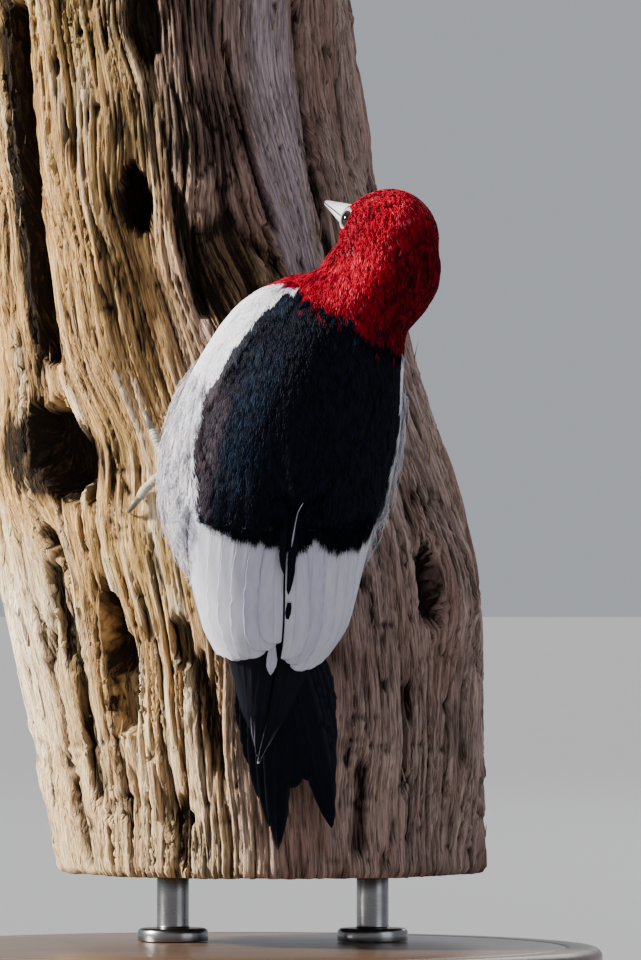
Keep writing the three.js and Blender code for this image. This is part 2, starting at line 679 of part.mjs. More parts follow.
// The tail's own sheet, in the part's frame: it leaves the rump and comes down onto the bark.
const TAIL_TOP = 110;
const TAIL_FOOT = 47;
const TAIL_LIFT = 30;
const TAIL_MIDDLE = 14.6;
function tailPoint(x, z, depth) {
  const share = THREE.MathUtils.clamp((z - TAIL_FOOT) / (TAIL_TOP - TAIL_FOOT), 0, 1.3);
  const radius = trunkRadius(z);
  const across = (x - trunkX(z)) / radius;
  const front = TRUNK.axisY - radius * Math.sqrt(1 - across * across * (1 - 0.5 * share));
  const lift = GAP + 1.3 + TAIL_LIFT * share ** 1.08;
  const turned = Math.tan(deg(BODY.yaw)) * (x - TAIL_MIDDLE) * share;
  return toBird(vec(x, front - lift + turned + depth, z));
}

// Half of the tail from the middle pair outwards: root and tip across, tip height, half width.
const TAIL_LEFT = [
  { root: 12.2, tip: 12.4, end: 45, half: 4.4 },
  { root: 10.6, tip: 9.8, end: 52, half: 4.6 },
  { root: 9, tip: 6.6, end: 61, half: 4.6 },
  { root: 7.4, tip: 3.8, end: 71, half: 4.6 },
  { root: 6, tip: 2, end: 80, half: 4.2 },
];
const TAIL_RIGHT = [
  { root: 16, tip: 28.8, end: 51.5, half: 4.8 },
  { root: 18, tip: 28.6, end: 56, half: 4.8 },
  { root: 19.6, tip: 28.6, end: 64, half: 4.6 },
  { root: 21, tip: 28.6, end: 73, half: 4.6 },
  { root: 22.4, tip: 28.2, end: 83, half: 4.2 },
];

function tailVanes() {
  const place = (z, x, offset, depth) => tailPoint(x + offset, z, depth);
  return [[TAIL_LEFT, -1], [TAIL_RIGHT, 1]].flatMap(([half, side]) =>
    half.map((feather, i) =>
      vane(place, {
        root: { along: TAIL_TOP - 2, across: feather.root },
        tip: { along: feather.end, across: feather.tip },
        half: feather.half, depth: () => i * VANE.step, lean: 0.5, sink: 0, outline: POINTED, covered: side,
      }),
    ),
  );
}

// The tail's coverts carry on from the rump and hold the roots of its feathers.
const CORE_SIDES = 16;
function tailCore() {
  const rings = [0, 0.25, 0.5, 0.75, 0.94, 1].map((t) => {
    const z = lerp(TAIL_TOP + 7, TAIL_TOP - 26, t);
    const half = lerp(10.8, 8.5, t) * (t === 1 ? 0.6 : 1);
    const deep = lerp(8.4, 1.6, t ** 0.8) * (t === 1 ? 0.4 : 1);
    return Array.from({ length: CORE_SIDES }, (_, j) => {
      const turn = (2 * Math.PI * j) / CORE_SIDES;
      const x = lerp(13, TAIL_MIDDLE, t) + half * Math.sin(turn);
      return tailPoint(x, z, lerp(4.5, 2.4, t) + deep * Math.cos(turn));
    });
  });
  return loft(rings);
}

// ---------------------------------------------------------------- legs

// Each toe leaves the foot in a direction across the bark; length is to the root of its claw.
const FEET = {
  left: {
    foot: { x: -19.1, z: 159.8 },
    heel: { x: -3, y: -46.5, z: 144 },
    hip: { x: 4, y: -64, z: 161 },
    toes: [
      { across: -6.3, up: 13.2, bow: 0.3 },
      { across: 3.5, up: 12.5, bow: -0.6 },
      { across: -9.9, up: -7.9, bow: -1.3 },
      { across: 1.5, up: -8, bow: 0.5 },
    ],
  },
  right: {
    foot: { x: 33.5, z: 157 },
    heel: { x: 27, y: -43, z: 142 },
    hip: { x: 22, y: -60, z: 159 },
    toes: [
      { across: 5.4, up: 15, bow: -0.5 },
      { across: -5.5, up: 12.5, bow: 0.6 },
      { across: 6.6, up: -10.5, bow: 1 },
      { across: -2.5, up: -8, bow: -0.5 },
    ],
  },
};
const TOE = [[0, 1.7], [0.22, 1.45], [0.42, 1.6], [0.62, 1.3], [0.82, 1.45], [0.98, 1.2], [1.04, 0.6]];
const TOE_ARCH = 1;
const TOE_GAP = 0.65; // over the rough bark

// A point along a toe, which bows a little across the bark; past 1 it goes on to the claw's tip.
function toePoint(foot, { across, up, bow }, t, lift) {
  const length = Math.hypot(across, up);
  const sideways = (bow * Math.sin(Math.PI * t)) / length;
  return toBird(onBark(foot.x + across * t - up * sideways, foot.z + up * t + across * sideways, lift));
}

function toeLine(foot, toe) {
  const lift = (t, radius) => radius + TOE_GAP + TOE_ARCH * Math.sin(Math.PI * t);
  return TOE.map(([t, radius]) => toePoint(foot, toe, t, lift(t, radius)));
}

const knuckle = (centre, radius) => ball(radius, TOE_SIDES, 5).translate(centre.toArray());

// The bare leg: heel, tarsus, foot and four toes. Grow makes the room it needs in its neighbours.
function makeLeg({ foot, heel, toes }, grow = 0) {
  const ankle = toBird(vec(heel.x, heel.y, heel.z));
  const pad = toBird(onBark(foot.x, foot.z, 2.6));
  const radii = [2.1, TARSUS_RADIUS, 2.2].map((radius) => radius + grow);
  const parts = [
    tube([ankle, ankle.clone().lerp(pad, 0.5), pad], radii, TOE_SIDES),
    knuckle(ankle, HEEL_RADIUS + grow),
    knuckle(pad, FOOT_RADIUS + grow),
  ];
  for (const toe of toes) {
    parts.push(tube(toeLine(foot, toe), TOE.map(([, radius]) => radius + grow), TOE_SIDES));
  }
  return wasm.Manifold.union(parts);
}

// A claw hooks out from the toe's end and down into the bark.
const CLAW = [
  { far: -0.6, lift: 2.1, radius: 1.05 },
  { far: 1.8, lift: 3.1, radius: 1.1 },
  { far: 3.9, lift: 2.8, radius: 0.8 },
  { far: 5.3, lift: 1.7, radius: 0.45 },
  { far: 5.9, lift: 0.55, radius: 0.16 },
];
function makeClaw(foot, toe) {
  const length = Math.hypot(toe.across, toe.up);
  const line = CLAW.map(({ far, lift }) => toePoint(foot, toe, 1 + far / length, lift));
  return tube(line, CLAW.map((station) => station.radius), CLAW_SIDES, 0.8);
}

// The feathered thigh, from inside the belly down to the heel.
const THIGH_RADII = [12, 11.2, 9.2, 6.4, 3.2];
function makeThigh({ hip, heel }) {
  const from = toBird(vec(hip.x, hip.y, hip.z));
  const to = toBird(vec(heel.x, heel.y, heel.z));
  const line = THIGH_RADII.map((_, i) => from.clone().lerp(to, (0.98 * i) / (THIGH_RADII.length - 1)));
  return tube(line, THIGH_RADII, THIGH_SIDES);
}

// ---------------------------------------------------------------- assembly

// Room round slanted faces is made a little wider, so that the gap across them is still the full one.
const neckRoom = makeNeck(1.6 * GAP);
const torsoRoom = makeTorso(1.4 * GAP);
const body = makeTorso().subtract(makeBed());
const flesh = wasm.Manifold.union([
  body,
  makeNeck(),
  makeSkull(),
  makeThroat(),
  makeOrbit(-1),
  makeOrbit(1),
  makeThigh(FEET.left),
  makeThigh(FEET.right),
]);

// Where the red of the neck meets the back, and the head the neck: point and direction, in the part's frame.
const NECK_CUT = { at: vec(33, -82, 205), normal: vec(0.49, -0.2, 0.85) };
const HEAD_CUT = { at: vec(44.5, -81, 219.5), normal: vec(0.1, 0.3, 1) };

const lower = partAt(flesh, NECK_CUT);
const upper = partAt(lower.above, HEAD_CUT);

const eyeRoom = (side) => sphereAt(eyeCentre(side), EYE.radius + GAP);
const headSolid = upper.above.subtract(eyeRoom(-1)).subtract(eyeRoom(1)).subtract(makeBill(GAP));

const bill = makeBill();
const mouthCut = partAt(bill, {
  at: bird.localToWorld(headPoint(0, BILL.base, BILL.mouth)),
  normal: vec(0, (BILL.mouth - BILL.droop) / (BILL.tip - BILL.base), 1).applyQuaternion(headTurn),
});

const model = new THREE.Group();

model.add(bird);
const torsoSolid = lower.below.subtract(makeLeg(FEET.left, GAP)).subtract(makeLeg(FEET.right, GAP));
bird.add(node("head", headSolid, RED), node("neck", upper.below, RED), node("torso", torsoSolid, WHITE));
bird.add(node("mantle", makeMantle().subtract(neckRoom), BLACK));
bird.add(node("bill_upper", mouthCut.above.subtract(makeNostril(-1)).subtract(makeNostril(1)), HORN));
bird.add(node("bill_lower", mouthCut.below, HORN));

const tail = wasm.Manifold.union([tailCore(), ...tailVanes()]).subtract(torsoRoom).subtract(makeWingRoom());
bird.add(node("tail", tail, BLACK));

for (const [name, side] of [["left", -1], ["right", 1]]) {
  bird.add(node(`eye_${name}`, sphereAt(eyeCentre(side), EYE.radius), EYE_GLOSS));
  bird.add(node(`wing_${name}`, makeWing(side).subtract(neckRoom), BLACK));
  bird.add(node(`secondaries_${name}`, makeSecondaries(side), WHITE));
  const leg = FEET[name];
  const legRoom = makeLeg(leg, GAP);
  bird.add(node(`leg_${name}`, makeLeg(leg), SKIN));
  leg.toes.forEach((toe, i) => {
    const claw = makeClaw(leg.foot, toe).subtract(legRoom);
    bird.add(node(`claw_${name}_${i + 1}`, claw, CLAW_HORN));
  });
}

model.add(node("perch_trunk", makeTrunk(), WOOD));

function turned(name, outline, sides, material) {
  const profile = outline.map(([radius, z]) => new THREE.Vector2(radius, z));
  const geometry = new THREE.LatheGeometry(profile, sides);
  geometry.rotateX(Math.PI / 2);
  const mesh = new THREE.Mesh(geometry, material);
  mesh.name = name;
  return mesh;
}

const { radius: R, height: H, bevel: B, foot: F } = BASE;
const baseOutline = [[0, 0], [R - F, 0], [R, F], [R, H - B], [R - B, H], [0, H]];
model.add(turned("stand_base", baseOutline, BASE.sides, BASE_WOOD));

const rodLength = TRUNK.bottom - BASE.height - 2 * GAP;
const rodOutline = [
  [0, 0], [ROD.collarRadius, 0], [ROD.collarRadius, ROD.collarHeight - 1],
  [ROD.collarRadius - 1, ROD.collarHeight], [ROD.radius, ROD.collarHeight],
  [ROD.radius, rodLength], [0, rodLength],
];
for (const [name, side] of [["left", -1], ["right", 1]]) {
  const rod = turned(`stand_rod_${name}`, rodOutline, ROD.sides, STEEL);
  rod.position.set(trunkX(TRUNK.bottom) + (side * ROD.across) / 2, TRUNK.axisY, BASE.height + GAP);
  model.add(rod);
}

export default model;
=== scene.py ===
"""Red-headed woodpecker, life size, clinging to a length of trunk on a display stand."""

import math

import bmesh
import bpy
import numpy as np
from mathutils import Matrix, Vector
from mathutils.bvhtree import BVHTree


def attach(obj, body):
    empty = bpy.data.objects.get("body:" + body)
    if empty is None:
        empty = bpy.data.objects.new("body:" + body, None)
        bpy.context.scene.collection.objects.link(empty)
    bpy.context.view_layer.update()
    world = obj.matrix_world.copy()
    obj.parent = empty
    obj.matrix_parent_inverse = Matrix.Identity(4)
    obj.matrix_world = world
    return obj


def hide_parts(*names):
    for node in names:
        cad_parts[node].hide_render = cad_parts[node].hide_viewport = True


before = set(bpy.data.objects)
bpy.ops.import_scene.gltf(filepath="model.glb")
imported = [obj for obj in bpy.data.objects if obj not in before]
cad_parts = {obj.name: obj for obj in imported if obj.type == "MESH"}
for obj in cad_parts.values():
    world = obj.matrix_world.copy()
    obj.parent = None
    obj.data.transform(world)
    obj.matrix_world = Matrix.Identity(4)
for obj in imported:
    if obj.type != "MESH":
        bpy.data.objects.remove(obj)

bl_info = {
    "name": "Red-headed woodpecker",
    "version": (1, 0, 0),
    "blender": (4, 5, 0),
    "location": "3D View > Sidebar > Woodpecker",
    "description": "Builds the plumage, bill, feet, trunk and stand of a life-size woodpecker",
    "category": "Add Mesh",
}

MM = 0.001  # points are worked out in millimetres, and meshes are in metres
SEED = 7
BODY_NAME = "root"

# ------------------------------ numbers


def stations(*pairs):
    """A smooth curve through (position, value) pairs, level beyond both ends."""
    x, y = np.array(pairs, float).T
    last = len(x) - 1
    before, after = np.maximum(np.arange(last + 1) - 1, 0), np.minimum(np.arange(last + 1) + 1, last)
    slope = (y[after] - y[before]) / (x[after] - x[before])

    def value(at):
        at = np.clip(np.asarray(at, float), x[0], x[last])
        i = np.clip(np.searchsorted(x, at, side="right") - 1, 0, last - 1)
        h = x[i + 1] - x[i]
        t = (at - x[i]) / h
        ends = (2 * t**3 - 3 * t**2 + 1) * y[i] + (3 * t**2 - 2 * t**3) * y[i + 1]
        return ends + h * ((t**3 - 2 * t**2 + t) * slope[i] + (t**3 - t**2) * slope[i + 1])

    return value


def straight(*pairs):
    """Straight lines through (position, value) pairs, level beyond both ends."""
    x, y = np.array(pairs, float).T
    return lambda at: np.interp(at, x, y)


def smooth(x, low, high):
    """0 below low, 1 above high and a soft step between."""
    t = np.clip((np.asarray(x, float) - low) / (high - low), 0, 1)
    return t * t * (3 - 2 * t)


def mix(a, b, t):
    return a + (b - a) * t


def rows(*values):
    """Values side by side, along a last axis."""
    return np.stack(np.broadcast_arrays(*values), -1)


def unit(v):
    """Vectors made one long."""
    return v / np.maximum(np.linalg.norm(v, axis=-1, keepdims=True), 1e-9)


def round_turns(count):
    """Evenly spaced turns round a circle, in radians."""
    return np.linspace(0, 2 * np.pi, count, endpoint=False)


def circle(turn, a, b):
    """Points round the circle that a and b span."""
    return np.cos(turn)[..., None] * a + np.sin(turn)[..., None] * b


def turn_about(axis, degrees):
    """The matrix of a turn about one axis."""
    c, s = math.cos(math.radians(degrees)), math.sin(math.radians(degrees))
    i, j = {"x": (1, 2), "y": (2, 0), "z": (0, 1)}[axis]
    m = np.eye(3)
    m[i, i] = m[j, j] = c
    m[i, j], m[j, i] = -s, s
    return m


def hashed(cells, seed):
    """An even random number for each whole-numbered cell."""
    n = np.zeros(cells.shape[:-1], np.uint64)
    for k, prime in enumerate((73856093, 19349663, 83492791)[: cells.shape[-1]]):
        n ^= (cells[..., k].astype(np.int64).astype(np.uint64)) * np.uint64(prime)
    n ^= np.uint64(seed * 2654435761 % 2**32)
    n = (n ^ (n >> np.uint64(13))) * np.uint64(1274126177)
    n = (n ^ (n >> np.uint64(16))) * np.uint64(2246822519)
    return ((n ^ (n >> np.uint64(15))) & np.uint64(0xFFFFFF)).astype(float) / 0xFFFFFF


def noise(points, seed=0):
    """Smooth noise from 0 to 1, in two or three dimensions."""
    points = np.asarray(points, float)
    base = np.floor(points)
    f = points - base
    f = f * f * (3 - 2 * f)
    total = 0
    for corner in np.ndindex(*(2,) * points.shape[-1]):
        corner = np.array(corner)
        weight = np.prod(np.where(corner, f, 1 - f), axis=-1)
        total = total + weight * hashed(base + corner, seed)
    return total


def layered(points, octaves=4, seed=0):
    """Noise with finer and fainter noise on top, from 0 to 1."""
    points = np.asarray(points, float)
    total, size, full = 0, 1.0, 0
    for k in range(octaves):
        total = total + size * noise(points * 2**k, seed + k)
        full += size
        size *= 0.5
    return total / full


# ------------------------------ the bird's own frames

BODY_AT = np.array((11.7, -77, 169.4))
BODY_TURN = turn_about("z", 12) @ turn_about("x", 14)
HEAD_AT = np.array((44.5, -81, 230.5))
HEAD_TURN = turn_about("z", 26) @ turn_about("x", 18) @ turn_about("y", 14)


def from_body(points):
    return BODY_AT + np.asarray(points, float) @ BODY_TURN.T


def to_body(points):
    return (np.asarray(points, float) - BODY_AT) @ BODY_TURN


def from_head(points):
    return HEAD_AT + np.asarray(points, float) @ HEAD_TURN.T


def to_head(points):
    return (np.asarray(points, float) - HEAD_AT) @ HEAD_TURN


# The outer face of the back and the folded wings by height, in the body's frame.
mid_x = stations(
    (-103, -1), (-97, -0.4), (-88, 0.8), (-80, 1.4), (-70, 2.2), (-60, 2.6), (-50, 2.1), (-40, 1.2), (-30, 0.6),
    (-20, 0.6), (-10, 1.4), (0, 2.6), (10, 4.1), (20, 6), (30, 8.8), (40, 12), (48, 14.8))
back_width = stations(
    (-103, 1.8), (-97, 3.2), (-88, 7), (-80, 10.3), (-70, 15.6), (-65, 18.4), (-58, 22.8), (-50, 26.3), (-40, 30),
    (-30, 32.8), (-20, 34.8), (-10, 35.4), (0, 35.4), (10, 34.2), (20, 32), (30, 29.4), (38, 26), (43, 22), (48, 14))
back_depth = stations(
    (-103, 1.5), (-88, 4.5), (-70, 10), (-52, 17), (-34, 23), (-15, 26), (0, 26.5), (20, 25), (34, 22), (43, 18),
    (48, 12))
bed_edge = {
    -1: straight((-64, 90), (-58, 87), (-50, 83), (-42, 77), (-34, 70), (-26, 64.5), (-18, 61), (-10, 59),
                 (-2, 58.5), (6, 60), (14, 62), (22, 61.5), (30, 60.5), (38, 61.5), (46, 62), (54, 60)),
    1: straight((-64, 90), (-58, 89), (-50, 87), (-42, 85), (-34, 82), (-26, 79), (-18, 76), (-10, 74), (-2, 72),
                (6, 71), (14, 70), (22, 69), (30, 67), (38, 65), (46, 62), (54, 58)),
}
mantle_edge = stations((-16, 0), (0, 7), (20, 20), (44, 31))


def degrees_for(distance, z, turn):
    """The turn that a distance over the back takes up."""
    turn = np.radians(turn)
    return np.degrees(distance / np.hypot(back_width(z) * np.cos(turn), back_depth(z) * np.sin(turn)))


def on_wing(side):
    """Places points on a folded wing: height, share from the outer edge (0) to the spine (1), offset, depth."""

    def place(z, share, offset, depth):
        inner = np.maximum(mantle_edge(z), 0) + degrees_for(0.35 + 0.35 * smooth(z, -16, -12), z, 0)
        outer = bed_edge[side](z) - degrees_for(0.7, z, bed_edge[side](z))
        turn = mix(outer, inner, share)
        turn = np.clip(turn - degrees_for(offset, z, turn), inner, outer)
        turn = np.radians(turn)
        back = np.maximum(0, np.cos(turn))
        x = np.maximum((back_width(z) - depth) * np.sin(turn), 0.21)
        y = -back * (back_depth(z) - depth)
        return from_body(rows(mid_x(z) + side * x, y, z))

    return place


# ------------------------------ the trunk's shape

AXIS_Y = 36
GRAIN_RADIUS, GRAIN_TALL = 66, 300  # the grain is drawn on a cylinder as thick and tall as the trunk
END_RADIUS = 62
TRUNK_FOOT, TRUNK_TOP = 36, 308
trunk_x = stations((30, 11), (80, 7), (121, 1.5), (181, -12), (241, -23), (285, -28), (308, -29.5))
trunk_radius = stations((30, 64.5), (80, 69), (121, 73.5), (150, 73), (181, 70), (241, 65), (285, 63), (308, 62.5))
# Knots and rotted hollows: turn from the front in degrees, height, half sizes and depth.
HOLLOWS = (
    (-7, 243, 4.5, 9, 13), (1, 296, 6, 10, 6), (17, 222, 13, 17, 6.5), (-39, 166, 11, 14, 15),
    (-34, 102, 4.6, 20, 11), (53, 124, 5, 13, 9), (118, 205, 6, 16, 11), (165, 95, 8, 20, 9), (-128, 150, 7, 26, 8))
SWELLINGS = ((-22, 205, 12, 46, -3.5), (62, 124, 14, 30, -2), (140, 170, 15, 40, -4), (-100, 75, 16, 30, -1.5))
# Long cracks: turn at their middle, lower and upper end, half width, depth and slant in degrees.
CRACKS = (
    (-38, 184, 312, 5.5, 7.5, 2), (-47, 118, 152, 3.6, 3.5, -9), (-12, 58, 114, 3, 3.5, -1),
    (6, 198, 256, 3.2, 4, -3), (28, 224, 300, 3.2, 3, -10), (48, 214, 312, 3.2, 4, -2), (25, 34, 82, 3.4, 3, 3),
    (-24, 30, 70, 3.2, 2.8, 2), (-62, 30, 128, 3.8, 3, 4), (40, 52, 104, 3.4, 2.8, 4),
    *((70 + 14 * i + 3 * math.sin(2.3 * i), 90 + 70 * math.sin(1.7 * i), 215 + 75 * math.cos(1.3 * i),
       4 + 0.8 * math.sin(3.1 * i), 3.1 + 0.7 * math.cos(2.7 * i), 5 * math.sin(1.1 * i)) for i in range(18)))
CRACK_ENDS = 14
WORN = ((4, 160, 36, 26), (8, 58, 20, 24))  # smoothed by the feet and the tail


def off_turn(turn, at):
    """The turn between a place and a bearing in degrees, in radians either way."""
    return np.arctan2(np.sin(turn - np.radians(at)), np.cos(turn - np.radians(at)))


def reach(turn, z, at, high_at, wide, high):
    """1 in the middle of an oval on the trunk, fading outwards."""
    return np.exp(-((off_turn(turn, at) * trunk_radius(z) / wide) ** 2)) * np.exp(-(((z - high_at) / high) ** 2))


def worn_share(turn, z):
    """1 where the wood is rubbed smooth."""
    return np.minimum(sum(reach(turn, z, *place) for place in WORN), 1)


def crack_share(turn, z, middle, low, high, wide, slant):
    """1 along a crack's middle, 0 beside it and past its ends."""
    at = middle + slant * ((z - low) / (high - low) - 0.5)
    open_share = smooth(z, low, low + CRACK_ENDS) * (1 - smooth(z, high - CRACK_ENDS, high))
    return open_share * np.exp(-((off_turn(turn, at) * trunk_radius(z) / wide) ** 2))


def bark_radius(turn, z):
    """The trunk's radius with its flutes, cracks and hollows."""
    worn = worn_share(turn, z)
    flute = 1.5 * np.cos(9 * turn + 0.018 * z) + 0.7 * np.cos(14 * turn - 0.036 * z)
    dents = sum(depth * reach(turn, z, *oval) for *oval, depth in HOLLOWS + SWELLINGS)
    dents = dents + sum(depth * crack_share(turn, z, *line, slant) for *line, depth, slant in CRACKS)
    return trunk_radius(z) + flute * (1 - worn) - dents * (1 - 0.9 * worn)


def bark_at(turn, z, lift=0.0):
    """A point on the bark, or a lift out from it."""
    r = bark_radius(turn, z) + lift
    return rows(trunk_x(z) + r * np.sin(turn), AXIS_Y - r * np.cos(turn), z)


def on_bark(x, z, lift=0.0):
    """The bark in front of a point: the same across and height, a lift out from the surface."""
    turn = np.zeros(np.shape(x))
    for _ in range(12):
        turn = np.arcsin(np.clip((x - trunk_x(z)) / bark_radius(turn, z), -1, 1))
    return bark_at(turn, z, lift)


# ------------------------------ meshes


def mesh_from(points, *faces):
    """A mesh from points in millimetres and arrays of triangles or quads."""
    mesh = bpy.data.meshes.new("shape")
    faces = [np.asarray(f, np.int32) for f in faces if len(f)]
    corners = np.concatenate([f.ravel() for f in faces])
    sizes = np.concatenate([np.full(len(f), f.shape[1], np.int32) for f in faces])
    starts = np.concatenate([[0], np.cumsum(sizes)[:-1]]).astype(np.int32)
    mesh.vertices.add(len(points))
    mesh.vertices.foreach_set("co", (np.asarray(points, float) * MM).astype(np.float32).ravel())
    mesh.loops.add(len(corners))
    mesh.loops.foreach_set("vertex_index", corners)
    mesh.polygons.add(len(sizes))
    mesh.polygons.foreach_set("loop_start", starts)
    mesh.polygons.foreach_set("use_smooth", np.ones(len(sizes), bool))
    mesh.update(calc_edges=True)
    mesh.validate()
    return mesh


def read(items, key, width=1, kind=np.float32):
    """A value, or a row of values, of each of a mesh's points, corners or faces."""
    values = np.empty(len(items) * width, kind)
    items.foreach_get(key, values)
    return values.reshape(-1, width) if width > 1 else values


def set_marks(mesh, marks, name="marks"):
    """Four values from 0 to 1 at each point."""
    mesh.attributes.new(name, "FLOAT_COLOR", "POINT").data.foreach_set(
        "color", np.clip(marks, 0, 1).astype(np.float32).ravel())


def set_map(mesh, name, uv, period=None):
    """A UV map from one place per point; faces over the seam of a map that goes round get a place past its end."""
    corners = uv[read(mesh.loops, "vertex_index", 1, np.int32)]
    if period:
        starts, totals = (read(mesh.polygons, key, 1, np.int32) for key in ("loop_start", "loop_total"))
        low, high = np.minimum.reduceat(corners[:, 0], starts), np.maximum.reduceat(corners[:, 0], starts)
        over = np.repeat(high - low > 0.5 * period, totals) & (corners[:, 0] < np.repeat((low + high) / 2, totals))
        corners[over, 0] += period
    layer = mesh.uv_layers.new(name=name)
    layer.data.foreach_set("uv", corners.astype(np.float32).ravel())


def put(name, data):
    """A new object in the scene, in place of an older one of its name."""
    old = bpy.data.objects.get(name)
    if old:
        bpy.data.objects.remove(old)
    made = bpy.data.objects.new(name, data)
    bpy.context.collection.objects.link(made)
    return made


def finished(host):
    """The mesh that an object's modifiers make; the object itself goes."""
    made = bpy.data.meshes.new_from_object(host.evaluated_get(bpy.context.evaluated_depsgraph_get()))
    bpy.data.objects.remove(host)
    return made


def add_piece(name, mesh, finish, slot, *replaced):
    """Puts a finished mesh in the scene, on the model's one body."""
    if len(mesh.polygons) == 0:
        raise RuntimeError(f"{name} has no faces")
    mesh.name = name
    mesh.materials.clear()
    mesh.materials.append(finish)
    made = put(name, mesh)
    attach(made, BODY_NAME)
    if replaced:
        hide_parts(*replaced)
    return made


def numbers(mesh):
    """A mesh's points in millimetres, its normals and its triangles."""
    mesh.calc_loop_triangles()
    points, normals = (read(mesh.vertices, key, 3).astype(float) for key in ("co", "normal"))
    return points / MM, normals, read(mesh.loop_triangles, "vertices", 3, np.int32)


def grid_faces(count, columns, closed=False):
    """Quads between rows of points, going round if closed."""
    r, c = np.meshgrid(np.arange(count - 1), np.arange(columns if closed else columns - 1), indexing="ij")
    a, b = r * columns + c, r * columns + (c + 1) % columns
    return rows(a, b, b + columns, a + columns).reshape(-1, 4)


def capped(rings):
    """A solid through rings (rows, around, 3), each end closed by a fan to its middle."""
    count, around = rings.shape[:2]
    points = np.concatenate((rings.reshape(-1, 3), rings[:1].mean(1), rings[-1:].mean(1)))
    start, end = count * around, count * around + 1
    i = np.arange(around)
    j = (i + 1) % around
    low = rows(j, i, start)
    high = rows(start - around + i, start - around + j, end)
    return points, grid_faces(count, around, closed=True), np.concatenate((low, high))


def outward(points, faces):
    """The faces, turned over if the closed shape they make is inside out."""
    p = points[faces]
    volume = np.einsum("ij,ij->i", p[:, 0], np.cross(p[:, 1], p[:, 2])).sum()
    volume += np.einsum("ij,ij->i", p[:, 0], np.cross(p[:, 2], p[:, 3])).sum()
    return faces if volume > 0 else faces[:, ::-1]


def closed(rings):
    """A closed solid through rings of points, its faces outwards: points, sides, ends."""
    points, sides, ends = capped(rings)
    faces = outward(points, sides)
    return points, faces, ends if faces is sides else ends[:, ::-1]


def solid(rings):
    """A closed mesh through rings of points, and its points."""
    points, faces, ends = closed(rings)
    return mesh_from(points, faces, ends), points


def pipe(line, radius, around=12, flat=1.0, up=(0.0, 0.0, 1.0)):
    """Rings along a line of points, each with its radius; flat squeezes them along up."""
    line = np.asarray(line, float)
    radius = np.broadcast_to(np.asarray(radius, float), len(line))
    along = unit(np.gradient(line, axis=0))
    side = unit(np.cross(along, np.asarray(up, float)))
    over = np.cross(side, along)
    return line[:, None] + radius[:, None, None] * circle(round_turns(around), side[:, None], over[:, None] * flat)


class Gather:
    """Collects several closed shapes as one mesh."""

    def __init__(self):
        self.points, self.quads, self.triangles, self.marks, self.count = [], [], [], [], 0

    def add(self, points, *faces, marks=(0.0, 0.0, 0.5, 0.5)):
        for f in faces:
            f = np.asarray(f)
            if len(f):
                (self.quads if f.shape[1] == 4 else self.triangles).append(f + self.count)
        self.points.append(points)
        self.marks.append(np.broadcast_to(np.asarray(marks, float), (len(points), 4)))
        self.count += len(points)

    def mesh(self):
        faces = [np.concatenate(f) for f in (self.quads, self.triangles) if f]
        mesh = mesh_from(np.concatenate(self.points), *faces)
        set_marks(mesh, np.concatenate(self.marks))
        return mesh


class Ground:
    """A surface that feathers grow from."""

    def __init__(self, mesh):
        self.points, self.normals, self.triangles = numbers(mesh)
        self.tree = BVHTree.FromPolygons(self.points.tolist(), self.triangles.tolist())

    def scatter(self, weight, count, seed):
        """Random places on it, thicker where the weight of a triangle's middle is greater."""
        random = np.random.default_rng(seed)
        a, b, c = (self.points[self.triangles[:, k]] for k in range(3))
        area = 0.5 * np.linalg.norm(np.cross(b - a, c - a), axis=1)
        share = area * np.maximum(weight((a + b + c) / 3), 0)
        if share.sum() <= 0:
            raise RuntimeError("no skin to grow feathers on")
        steps = (np.arange(count) + random.random(count)) / count
        order = np.argsort(((a + b + c) / 3)[:, 2], kind="stable")
        pick = order[np.minimum(np.searchsorted(np.cumsum(share[order]) / share.sum(), steps), len(share) - 1)]
        u, v = random.random(count), random.random(count)
        flip = u + v > 1
        u[flip], v[flip] = 1 - u[flip], 1 - v[flip]
        return a[pick] + u[:, None] * (b - a)[pick] + v[:, None] * (c - a)[pick]

    def nearest(self, places):
        spots, ups = np.empty_like(places), np.empty_like(places)
        for i, place in enumerate(places):
            spot, _, face, _ = self.tree.find_nearest(place)
            spots[i] = spot
            ups[i] = self.normals[self.triangles[face]].sum(0)
        return spots, unit(ups)

    def comb(self, roots, lie, length, count):
        """Paths over the surface from each root, following the lie of the coat, and their ups."""
        here, up = self.nearest(roots)
        path, ups = [here], [up]
        step = np.asarray(length, float).reshape(-1, 1) / (count - 1)
        for _ in range(count - 1):
            way = lie(here)
            way = unit(way - (way * up).sum(1, keepdims=True) * up)
            here, up = self.nearest(here + way * step)
            path.append(here)
            ups.append(up)
        return np.stack(path, 1), np.stack(ups, 1)


def along_path(path, t):
    """Values at shares t (N, ...) of paths (N, K, ...)."""
    last = path.shape[1] - 1
    x = np.clip(t, 0, 1) * last
    i = np.minimum(x.astype(int), last - 1)
    f = (x - i)[..., None]
    n = np.arange(len(path)).reshape((-1,) + (1,) * (t.ndim - 1))
    return path[n, i] * (1 - f) + path[n, i + 1] * f


def barb_plan(count, roundness):
    """A fan of barbs with a rounded outline: start and end along the shaft, place aside and half width of each."""
    plan = [(0.0, 1.0, 0.0, 1.0)]
    for k in range((count - 1) // 2):
        share = (k + 1) / ((count - 1) // 2)
        start, end, aside = 0.05 + 0.35 * (1 - share), 1.0 - (1 - roundness) * share**1.6, share**0.8
        plan += [(start, end, aside, 0.95), (start, end, -aside, 0.95)]
    return np.array(plan)


